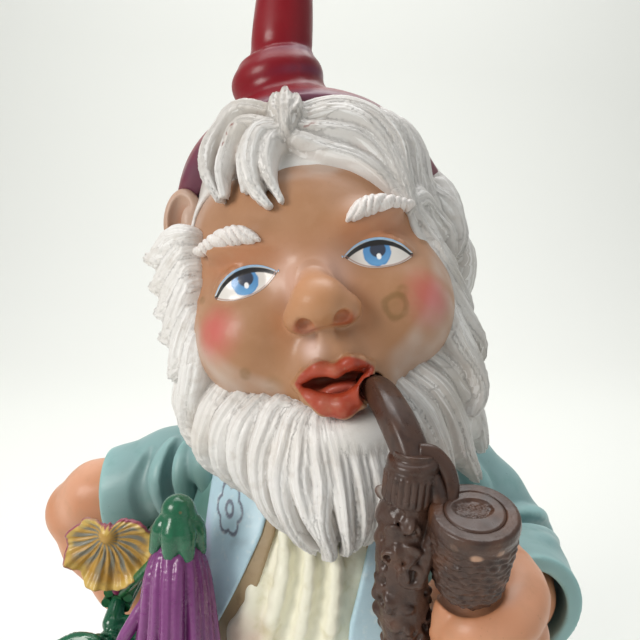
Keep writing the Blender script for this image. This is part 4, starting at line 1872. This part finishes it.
def tassel_colours(points, hollow):
    """Orchid purple, wine in the gaps, pink on the crests."""
    x, _, z = points.T
    colour = np.tile(np.array(PURPLE), (len(points), 1))
    colour = mix(colour, PURPLE_LIGHT, 0.65 * smoothstep(0.0, -0.7, hollow))
    colour = mix(colour, PURPLE_DARK, 0.9 * smoothstep(0.1, 1.0, hollow))
    return mix(colour, PURPLE_DARK, 0.55 * smoothstep(-53, -45, x) * smoothstep(140, 172, z))


coloured(sculpt_piece("tassel_petals", tassel_sculpt(), petal_paint.material, "flowers",
                      ["tassel_bloom"], hollow=1.6), tassel_colours)


def pansy_polar(points):
    """Radius, angle from straight down, and depth of points about the pansy's heart."""
    across, up = points[..., 0] - PANSY[0], points[..., 2] - PANSY[2]
    return np.hypot(across, up), np.arctan2(across, -up), points[..., 1]


def pansy_rim(angle):
    """How far the petals reach: long where they hang, short where they tuck under the sleeve."""
    hanging = np.maximum(np.cos(np.clip(angle, -2.6, 2.6) / 2.6 * math.pi / 2), 0) ** 0.8
    return 4.0 + 19.0 * hanging * (0.9 + 0.1 * np.abs(np.cos(2.5 * angle)) ** 0.5) + 0.6 * np.sin(11 * angle)


def pansy_face(radius, angle):
    """The depth of the petals' front: a shallow bell with a fluted rim."""
    flutes = 1.7 * np.sin(9 * angle + 0.6) * smoothstep(9, 21, radius)
    ribs = 0.35 * np.sin(34 * angle) * smoothstep(2, 8, radius)
    return PANSY[1] + 1.0 - 0.012 * (radius - 12) ** 2 - 2.2 * smoothstep(16, 23, radius) + flutes + ribs


def pansy_sculpt():
    """A bell of ruffled petals round a small heart."""
    low, high = (-110, -68, 150), (-56, -42, 194)
    clay = Sculpt(low, high, 0.42)
    part, points = clay.window(clay.low, np.array(high, float))
    radius, angle, deep = pansy_polar(points)
    thick = 1.3 - 0.5 * smoothstep(12, 22, radius)
    sheet = (np.abs(deep - pansy_face(radius, angle)) - thick) * 0.7
    clay.field[part] = -smooth_min(-sheet, -(radius - pansy_rim(angle)) * 0.8, 0.8)
    clay.add(ellipsoid(PANSY + (0, -1, 0), (3.4, 2.6, 3.4)), 1)
    for part in chain([PANSY + (0, 0, 0), (-82.5, -49, 170), (-82, -48, 152)], [3.4, 2.8, 2.6]):
        clay.add(part, 1)
    return clay


def pansy_colours(points, hollow):
    """Ochre yellow, streaked blue-grey from the heart, with a magenta lip and back."""
    radius, angle, deep = pansy_polar(points)
    colour = np.tile(np.array(shade_of(184, 142, 62)), (len(points), 1))
    colour = mix(colour, shade_of(132, 92, 40), 0.7 * smoothstep(0.05, 0.6, hollow))
    streak = smoothstep(0.30, 0.75, np.sin(19 * angle + 0.8 * np.sin(radius / 2)) * 0.5 + 0.5)
    streak *= smoothstep(20, 12, radius + 3 * wobble(points, 5, 40)) * smoothstep(1.5, 4, radius)
    colour = mix(colour, shade_of(96, 112, 112), 0.8 * streak)
    rim = pansy_rim(angle) - radius
    colour = mix(colour, shade_of(216, 184, 96), 0.7 * smoothstep(4.0, 2.0, rim))
    colour = mix(colour, shade_of(140, 34, 84), 0.9 * smoothstep(1.0, 0.2, rim + 0.8 * wobble(points, 6, 41)))
    back = smoothstep(0.2, 1.0, deep - pansy_face(radius, angle))
    return mix(colour, shade_of(136, 34, 84), 0.95 * back)


pansy_paint = Paint("pansy_paint", shade_of(196, 156, 74), rough=0.4, coat=0.15, stored="paint")
pansy_paint.speckle(shade_of(120, 92, 50), 3, 4, 0.55, 0.8, 0.5)
pansy_paint.roughen(pansy_paint.noise(4, 3), 0.3, 0.5)
pansy_paint.bump(pansy_paint.noise(0.9, 3), 0.05)
coloured(sculpt_piece("pansy_petals", pansy_sculpt(), pansy_paint.material, "flowers",
                      ["pansy_bloom"], hollow=1.2), pansy_colours)


def leaf_sculpt():
    """A fan of drooping leaves with sunk veins."""
    low, high = (-122, -78, 98), (-40, -46, 152)
    clay = Sculpt(low, high, 0.6)
    part, points = clay.window(clay.low, np.array(high, float))
    for index, turn in enumerate((-56, -28, 0, 28, 56)):
        foot = np.array([-82.0, -54.0 - 3 * index, 142.0])
        along = np.array([-math.sin(math.radians(turn)), 0, -math.cos(math.radians(turn))])
        across = np.array([along[2], 0, -along[0]])
        local = points - foot
        s, w, deep = local @ along, local @ across, local[..., 1]
        share = np.clip(s / 38, 0, 1)
        half = 8.6 * np.sin(math.pi * share ** 0.8) ** 0.7 + 0.6
        surface = (-1.5 + 2.2 * (w / 8) ** 2 + 2.5 * share ** 2
                   - 0.5 * np.cos(w * 0.9 - s * 0.55) * np.abs(w) / 8)
        vein = 0.6 * np.exp(-(w / 0.9) ** 2)
        side_vein = 0.3 * np.exp(-(np.sin((s - 0.9 * np.abs(w)) * 0.75) / 0.35) ** 2)
        sheet = (np.abs(deep - surface) - 1.35 + vein + side_vein) * 0.8
        edge = np.maximum(np.abs(w) - half, np.abs(s - 19) - 19)
        leaf = -smooth_min(-sheet, -edge, 0.8)
        clay.field[part] = smooth_min(clay.field[part], leaf, 0.5)
    for part in chain([(-82, -46, 147), (-82, -56, 142)], [3.2, 4.0]):
        clay.add(part, 1.5)
    return clay


coloured(sculpt_piece("leaf_fan", leaf_sculpt(), leaf_paint.material, "flowers",
                      ["flower_leaves"],
                      hollow=1.4), green_colours)

twine_clay = Sculpt((-94, 11, 136), (-70, 22, 160), 0.35)
for turn in range(96):
    first, second = 2 * math.pi * turn / 24, 2 * math.pi * (turn + 1) / 24
    ends = [BUNCH + (7.7 * math.cos(a), 14.1 + 0.72 * a / math.pi, 7.7 * math.sin(a)) for a in (first,
                                                                                                second)]
    size = 1.0 + 0.16 * math.sin(6 * first)
    twine_clay.add(rod(ends[0], ends[1], size, 1.0 + 0.16 * math.sin(6 * second)), 0.15)
twine = Paint("twine_paint", shade_of(170, 140, 92), rough=0.7)
twine.layer(shade_of(104, 78, 46), twine.ramp(twine.noise(1.2, 3), 0.45, 0.7))
twine.bump(twine.noise(0.6, 3), 0.2)
sculpt_piece("twine_turns", twine_clay, twine.material, "flowers", ["flower_tie"],
             smallest=100)


# ---------------------------------------------------------------- seat, legs, boots and ground
def node_material(node, paint):
    """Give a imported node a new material."""
    for packed in bpy.data.objects:
        if packed.name == node and packed.type == "MESH":
            for place in range(len(packed.material_slots)):
                packed.material_slots[place].material = paint.material


stem = Paint("stem_paint", shade_of(30, 96, 58), rough=0.32, coat=0.2)
stem.speckle(shade_of(66, 122, 62), 4, 3, 0.45, 0.75, 0.7, (1, 0.2, 1))
stem.speckle(shade_of(12, 52, 40), 2, 3, 0.6, 0.8, 0.7)
stem.roughen(stem.noise(4, 2), 0.24, 0.42)
stem.bump(stem.noise(1.4, 3, (1, 0.15, 1)), 0.15)
vinyl = Paint("bare_vinyl", shade_of(214, 178, 150), rough=0.42)
vinyl.speckle(shade_of(186, 148, 120), 8, 3, 0.45, 0.75, 0.6)
vinyl.bump(vinyl.noise(1.2, 3), 0.04)
rubber = Paint("black_rubber", shade_of(34, 34, 36), rough=0.6)
rubber.speckle(shade_of(74, 72, 70), 3, 4, 0.5, 0.8, 0.5)
rubber.bump(rubber.noise(0.8, 3), 0.06)
brass = Paint("buckle_paint", shade_of(190, 152, 72), rough=0.32, coat=0.2)
brass.speckle(shade_of(108, 78, 34), 2.5, 4, 0.5, 0.75, 0.8)
brass.roughen(brass.noise(3, 3), 0.24, 0.5)
brass.bump(brass.noise(0.9, 3), 0.08)
for node, paint in (("flower_stems", stem), ("neck_spigot", vinyl), ("filler_plug", rubber)):
    node_material(node, paint)

leather = Paint("belt_paint", shade_of(74, 46, 34), rough=0.45, coat=0.1, stored="paint")
leather.speckle(shade_of(44, 27, 22), 5, 4, 0.45, 0.75, 0.7)
leather.speckle(shade_of(128, 92, 66), 1.5, 3, 0.68, 0.82, 0.4)
leather.roughen(leather.noise(4, 3), 0.35, 0.58)
leather.bump(leather.noise(0.9, 4), 0.10)


def belt_sculpt():
    """A strap round the coat with raised edges and stitches."""
    low, high = (-68, -75, 98), (68, 64, 118)
    clay = Sculpt(low, high, 0.8)
    part, points = clay.window(clay.low, np.array(high, float))
    across, deep = points[..., 0] - TORSO_CENTRE[0], points[..., 1] - TORSO_CENTRE[1]
    radius, angle = np.hypot(across, deep), np.arctan2(across, -deep)
    middle = 108 + 0.5 * np.sin(2 * angle)
    rise = np.abs(points[..., 2] - middle)
    bead = 0.5 * np.exp(-((rise - 5.4) / 0.9) ** 2)
    stitch = 0.35 * np.exp(-((rise - 4.0) / 0.6) ** 2) * (np.sin(75 * angle) > 0)
    shell = np.maximum(radius - 65.3 - bead - stitch, 60 - radius)
    clay.field[part] = -smooth_min(-shell, -(rise - 6.3), 0.8)
    return clay


def leather_colours(points, hollow):
    """Dark brown, rubbed paler on the edges."""
    colour = np.tile(np.array(shade_of(74, 46, 34)), (len(points), 1))
    colour = mix(colour, shade_of(122, 84, 58), 0.6 * smoothstep(-0.3, -0.9, hollow))
    return mix(colour, shade_of(30, 18, 15), 0.8 * smoothstep(0.2, 1.0, hollow))


coloured(sculpt_piece("belt_strap", belt_sculpt(), leather.material, "figure", ["belt"],
                      hollow=1.6),
         leather_colours)

buckle_low, buckle_high = (np.array(corner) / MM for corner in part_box("belt_buckle"))
buckle_mid = (buckle_low + buckle_high) / 2
buckle_half = (buckle_high - buckle_low) / 2
buckle_clay = Sculpt(buckle_low - 3, buckle_high + 3, 0.35)
part, points = buckle_clay.window(buckle_clay.low, buckle_high + 3)
local = points - buckle_mid
frame_out = np.maximum(np.abs(local[..., 0]) - buckle_half[0] + 2.2,
                       np.abs(local[..., 2]) - buckle_half[2] + 2.2)
ring = np.hypot(np.maximum(np.abs(frame_out + 1.0) - 1.0, 0), local[..., 1] - 0.03) - 1.9
buckle_clay.field[part] = ring
buckle_clay.add(rod(buckle_mid + (-1, 0.5, 0), buckle_mid + (buckle_half[0] - 1.5, -0.8, 0), 1.3, 1.1), 0.4)
buckle_clay.add(rod(buckle_mid + (-3, 0.6, -buckle_half[2] + 2), buckle_mid + (-3, 0.6, buckle_half[2] - 2),
                    1.4, 1.4), 0.4)
sculpt_piece("buckle_frame", buckle_clay, brass.material, "figure", ["belt_buckle"],
             smallest=100)


def trouser_sculpt():
    """Baggy breeches between the coat and the boots, with creases at the knee."""
    low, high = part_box("trousers")
    low, high = np.array(low) / MM, np.array(high) / MM
    clay = Sculpt(low - 3, high + 3, 1.1)
    clay.add(ellipsoid((0, 0, 84), (50, 49, 13)))
    for side in (-1, 1):
        for part in chain([(24 * side, -4, 84), (28 * side, 0, 68)], [24, 21.5]):
            clay.add(part, 5)
        for level, tilt in ((79, 3), (72, -3), (67, 2)):
            for turn in range(18):
                a, b = 2 * math.pi * turn / 18, 2 * math.pi * (turn + 1) / 18
                ends = [(28 * side + 23.2 * math.sin(t), -1 - 23.2 * math.cos(t),
                         level + tilt * math.sin(t + level))
                        for t in (a, b)]
                clay.cut(rod(ends[0], ends[1], 1.3, 1.3), 2.5)
    clay.cut(rod((0, -60, 70), (0, 60, 70), 5, 5), 4)
    clay.keep(lambda p: np.maximum(p[..., 2] - high[2], low[2] - p[..., 2]))
    return clay


breeches = Paint("trouser_paint", shade_of(92, 74, 60), rough=0.55, stored="paint")
breeches.speckle(shade_of(64, 50, 42), 8, 4, 0.45, 0.75, 0.6)
breeches.speckle(shade_of(128, 108, 88), 2, 3, 0.65, 0.8, 0.35)
breeches.roughen(breeches.noise(6, 3), 0.42, 0.62)
breeches.bump(breeches.noise(1.0, 3), 0.08)


def breeches_colours(points, hollow):
    """Brown cloth, darker in the creases."""
    colour = np.tile(np.array(shade_of(92, 74, 60)), (len(points), 1))
    return mix(colour, shade_of(40, 30, 26), 0.8 * smoothstep(0.2, 1.6, hollow))


coloured(sculpt_piece("breeches", trouser_sculpt(), breeches.material, "figure",
                      ["trousers"],
                      hollow=3), breeches_colours)


def boot_sculpt(node):
    """A turned-down boot with a welted sole, a blunt toe and ankle creases."""
    low, high = (np.array(corner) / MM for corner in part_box(node))
    x = (low[0] + high[0]) / 2
    ground = low[2]
    clay = Sculpt(low - 2, high + 2, 0.9)
    clay.add(ellipsoid((x, low[1] + 26, ground + 9), (18.6, 24.5, 15)))
    clay.add(ellipsoid((x, low[1] + 54, ground + 9), (16, 29, 15)), 6)
    clay.add(rod((x, high[1] - 20, ground + 10), (x, high[1] - 20, high[2] - 8), 17.5, 18.2), 6)
    for turn in range(20):
        a, b = 2 * math.pi * turn / 20, 2 * math.pi * (turn + 1) / 20
        ends = [(x + 17.2 * math.sin(t), high[1] - 20 + 17.2 * math.cos(t),
                 high[2] - 3.4 + 0.6 * math.sin(3 * t))
                for t in (a, b)]
        clay.add(rod(ends[0], ends[1], 2.7, 2.7), 0.8)
    for level, reach in ((ground + 26, 0), (ground + 21, 3), (ground + 30, -2)):
        fold(clay, [(x - 18, high[1] - 24, level), (x, high[1] - 42 - reach, level - 3),
                    (x + 18, high[1] - 24, level)], 1.5, 2,
             raised=False)
    part, points = clay.window(clay.low, high + 2)
    toe = np.hypot((points[..., 0] - x) / 19.4, (points[..., 1] - low[1] - 26) / 26) * 20 - 20
    heel = np.hypot((points[..., 0] - x) / 17.6, (points[..., 1] - high[1] + 20) / 20) * 18 - 18
    waist = np.maximum(np.abs(points[..., 0] - x) - 15.5,
                       np.abs((points[..., 1] - (low[1] + high[1]) / 2)) - 24)
    sole = smooth_min(smooth_min(toe, heel, 6), waist, 6)
    sole = np.maximum(sole, np.abs(points[..., 2] - ground - 2.2) - 2.2)
    clay.field[part] = smooth_min(clay.field[part], sole, 0.6)
    lace = 0.5 * np.exp(-((points[..., 2] - ground - 5.6) / 0.7) ** 2)
    clay.field[part] += lace
    clay.keep(lambda p: ground - p[..., 2])
    return clay


boot_paint = Paint("boot_paint", shade_of(84, 52, 34), rough=0.32, coat=0.25, stored="paint")
boot_paint.speckle(shade_of(46, 28, 20), 9, 4, 0.45, 0.75, 0.7)
boot_paint.speckle(shade_of(140, 104, 74), 1.6, 3, 0.7, 0.82, 0.4)
boot_paint.roughen(boot_paint.noise(6, 3), 0.24, 0.46)
boot_paint.bump(boot_paint.noise(1.1, 4), 0.08)


def boot_colours(points, hollow):
    """Chestnut, dark at the welt and creases."""
    colour = np.tile(np.array(shade_of(92, 56, 36)), (len(points), 1))
    colour = mix(colour, shade_of(26, 16, 13), 0.85 * smoothstep(0.25, 1.3, hollow))
    return mix(colour, shade_of(40, 30, 27), 0.8 * smoothstep(29.0, 28.0, points[:, 2]))


for node in ("boot_right", "boot_left"):
    coloured(sculpt_piece(node + "_leather", boot_sculpt(node), boot_paint.material, "figure",
                          [node],
                          hollow=2), boot_colours)


PLUG_RECESS = (15.6, 3.4)  # radius and depth
PLUG_BORE = (11.6, 14)


def plinth_sculpt():
    """A mossy oval of ground with stones pressed into its side."""
    low, high = (np.array(corner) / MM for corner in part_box("plinth"))
    middle = (low + high) / 2
    half = (high - low) / 2
    clay = Sculpt(low - 1, high + 1, 1.25)
    part, points = clay.window(clay.low, high + 1)
    local = points - middle
    angle = np.arctan2(local[..., 1], local[..., 0])
    wall = 1.2 * np.sin(7 * angle) + 0.8 * np.sin(13 * angle + local[..., 2] / 5) - 2.4
    oval = (np.hypot(local[..., 0] / half[0], local[..., 1] / half[1]) - 1) * half[1] - wall * 0.7
    tufts = 0.5 * np.sin(points[..., 0] * 0.9 + 2 * np.sin(points[..., 1] * 0.31))
    tufts += 0.5 * np.sin(points[..., 1] * 0.83 + 2 * np.sin(points[..., 0] * 0.27))
    top = local[..., 2] - half[2] + 1.1 - 0.9 * tufts
    clay.field[part] = -smooth_min(-oval, -top, 7)
    source = np.random.default_rng(19)
    for index in range(26):
        a = 2 * math.pi * (index + source.uniform(-0.3, 0.3)) / 26
        place = middle + (math.cos(a) * (half[0] - 4.2), math.sin(a) * (half[1] - 4.2), source.uniform(-6, 3))
        clay.add(ellipsoid(place, source.uniform((3, 3, 2.5), (5.2, 5.2, 4.2)),
                           turned(0, 0, math.degrees(a))), 1)
    plug = (np.array(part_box("filler_plug")[0]) + np.array(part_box("filler_plug")[1])) / 2 / MM
    radius = np.hypot(points[..., 0] - plug[0], points[..., 1] - plug[1])
    recess = np.maximum(radius - PLUG_RECESS[0], points[..., 2] - PLUG_RECESS[1])
    bore = np.maximum(radius - PLUG_BORE[0], points[..., 2] - PLUG_BORE[1])
    clay.field[part] = np.maximum(clay.field[part], -np.minimum(recess, bore))
    clay.keep(lambda p: -p[..., 2])
    return clay


moss = Paint("moss_paint", shade_of(70, 96, 52), rough=0.7, stored="paint")
moss.speckle(shade_of(38, 58, 30), 5, 5, 0.42, 0.7, 0.85)
moss.speckle(shade_of(134, 146, 84), 1.6, 4, 0.6, 0.75, 0.55)
moss.bump(moss.noise(1.4, 5), 0.7)
moss.bump(moss.noise(4, 3), 0.8)


def moss_colours(points, hollow):
    """Moss green above, earth brown down the side, grey on the stones."""
    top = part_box("plinth")[1][2] / MM
    colour = np.tile(np.array(shade_of(72, 98, 52)), (len(points), 1))
    colour = mix(colour, shade_of(96, 78, 56), 0.85 * smoothstep(top - 5, top - 13, points[:, 2]))
    colour = mix(colour, shade_of(136, 130, 118), 0.7 * smoothstep(-0.5, -1.4, hollow)
                 * smoothstep(top - 6, top - 10, points[:, 2]))
    return mix(colour, shade_of(34, 36, 24), 0.8 * smoothstep(0.3, 1.8, hollow))


coloured(sculpt_piece("mossy_ground", plinth_sculpt(), moss.material, "figure", ["plinth"],
                      hollow=3),
         moss_colours)


# ---------------------------------------------------------------- floor, light and camera
def stage_floor():
    """A pale floor that curves up into a backdrop behind the figure."""
    profile = smooth_path([(-2.5, 0), (0, 0), (0.7, 0), (1.15, 0.06), (1.45, 0.35), (1.6, 1.0), (1.65, 2.0),
                           (1.7, 3.4)], 60)
    points = []
    for x in (-2.6, 2.6):
        points += [(x, y, z) for y, z in profile]
    count = len(profile)
    faces = [(i, i + count, i + count + 1, i + 1) for i in range(count - 1)]
    mesh = bpy.data.meshes.new("floor")
    mesh.from_pydata(points, [], faces)
    mesh.polygons.foreach_set("use_smooth", [True] * len(mesh.polygons))
    floor = bpy.data.objects.new("floor", mesh)
    bpy.context.scene.collection.objects.link(floor)
    mesh.materials.append(Paint("floor_paint", (0.86, 0.865, 0.83), rough=0.9).material)


def lamp(name, place, aim, size, power, colour=(1, 1, 1)):
    """A soft square light."""
    data = bpy.data.lights.new(name, "AREA")
    data.size = size
    data.energy = power
    data.color = colour
    light = bpy.data.objects.new(name, data)
    light.location = place
    light.rotation_euler = (Vector(aim) - Vector(place)).to_track_quat("-Z", "Y").to_euler()
    bpy.context.scene.collection.objects.link(light)


stage_floor()
lamp("window", (-0.85, -0.75, 0.75), (0, -0.03, 0.25), 0.5, 8.5, (1.0, 0.97, 0.93))
lamp("fill", (0.9, -0.8, 0.45), (0, 0, 0.25), 1.2, 1.2, (0.93, 0.97, 1.0))
lamp("above", (0.1, 0.5, 1.3), (0, 0, 0.3), 0.9, 5)
lamp("backdrop", (0, 0.45, 1.9), (0, 1.5, 0.5), 1.6, 18)
world = bpy.data.worlds.new("studio")
world.use_nodes = True
world.node_tree.nodes["Background"].inputs["Color"].default_value = (0.93, 0.96, 0.95, 1)
world.node_tree.nodes["Background"].inputs["Strength"].default_value = 0.40
bpy.context.scene.world = world

camera_data = bpy.data.cameras.new("camera")
camera_data.lens = 36
camera_data.sensor_width = 36
camera_data.clip_start = 0.01
camera = bpy.data.objects.new("camera", camera_data)
camera.location = (0, -0.290, 0.296)
camera.rotation_euler = (math.radians(82), 0, 0)
bpy.context.scene.collection.objects.link(camera)
bpy.context.scene.camera = camera
bpy.context.scene.view_settings.view_transform = "Standard"
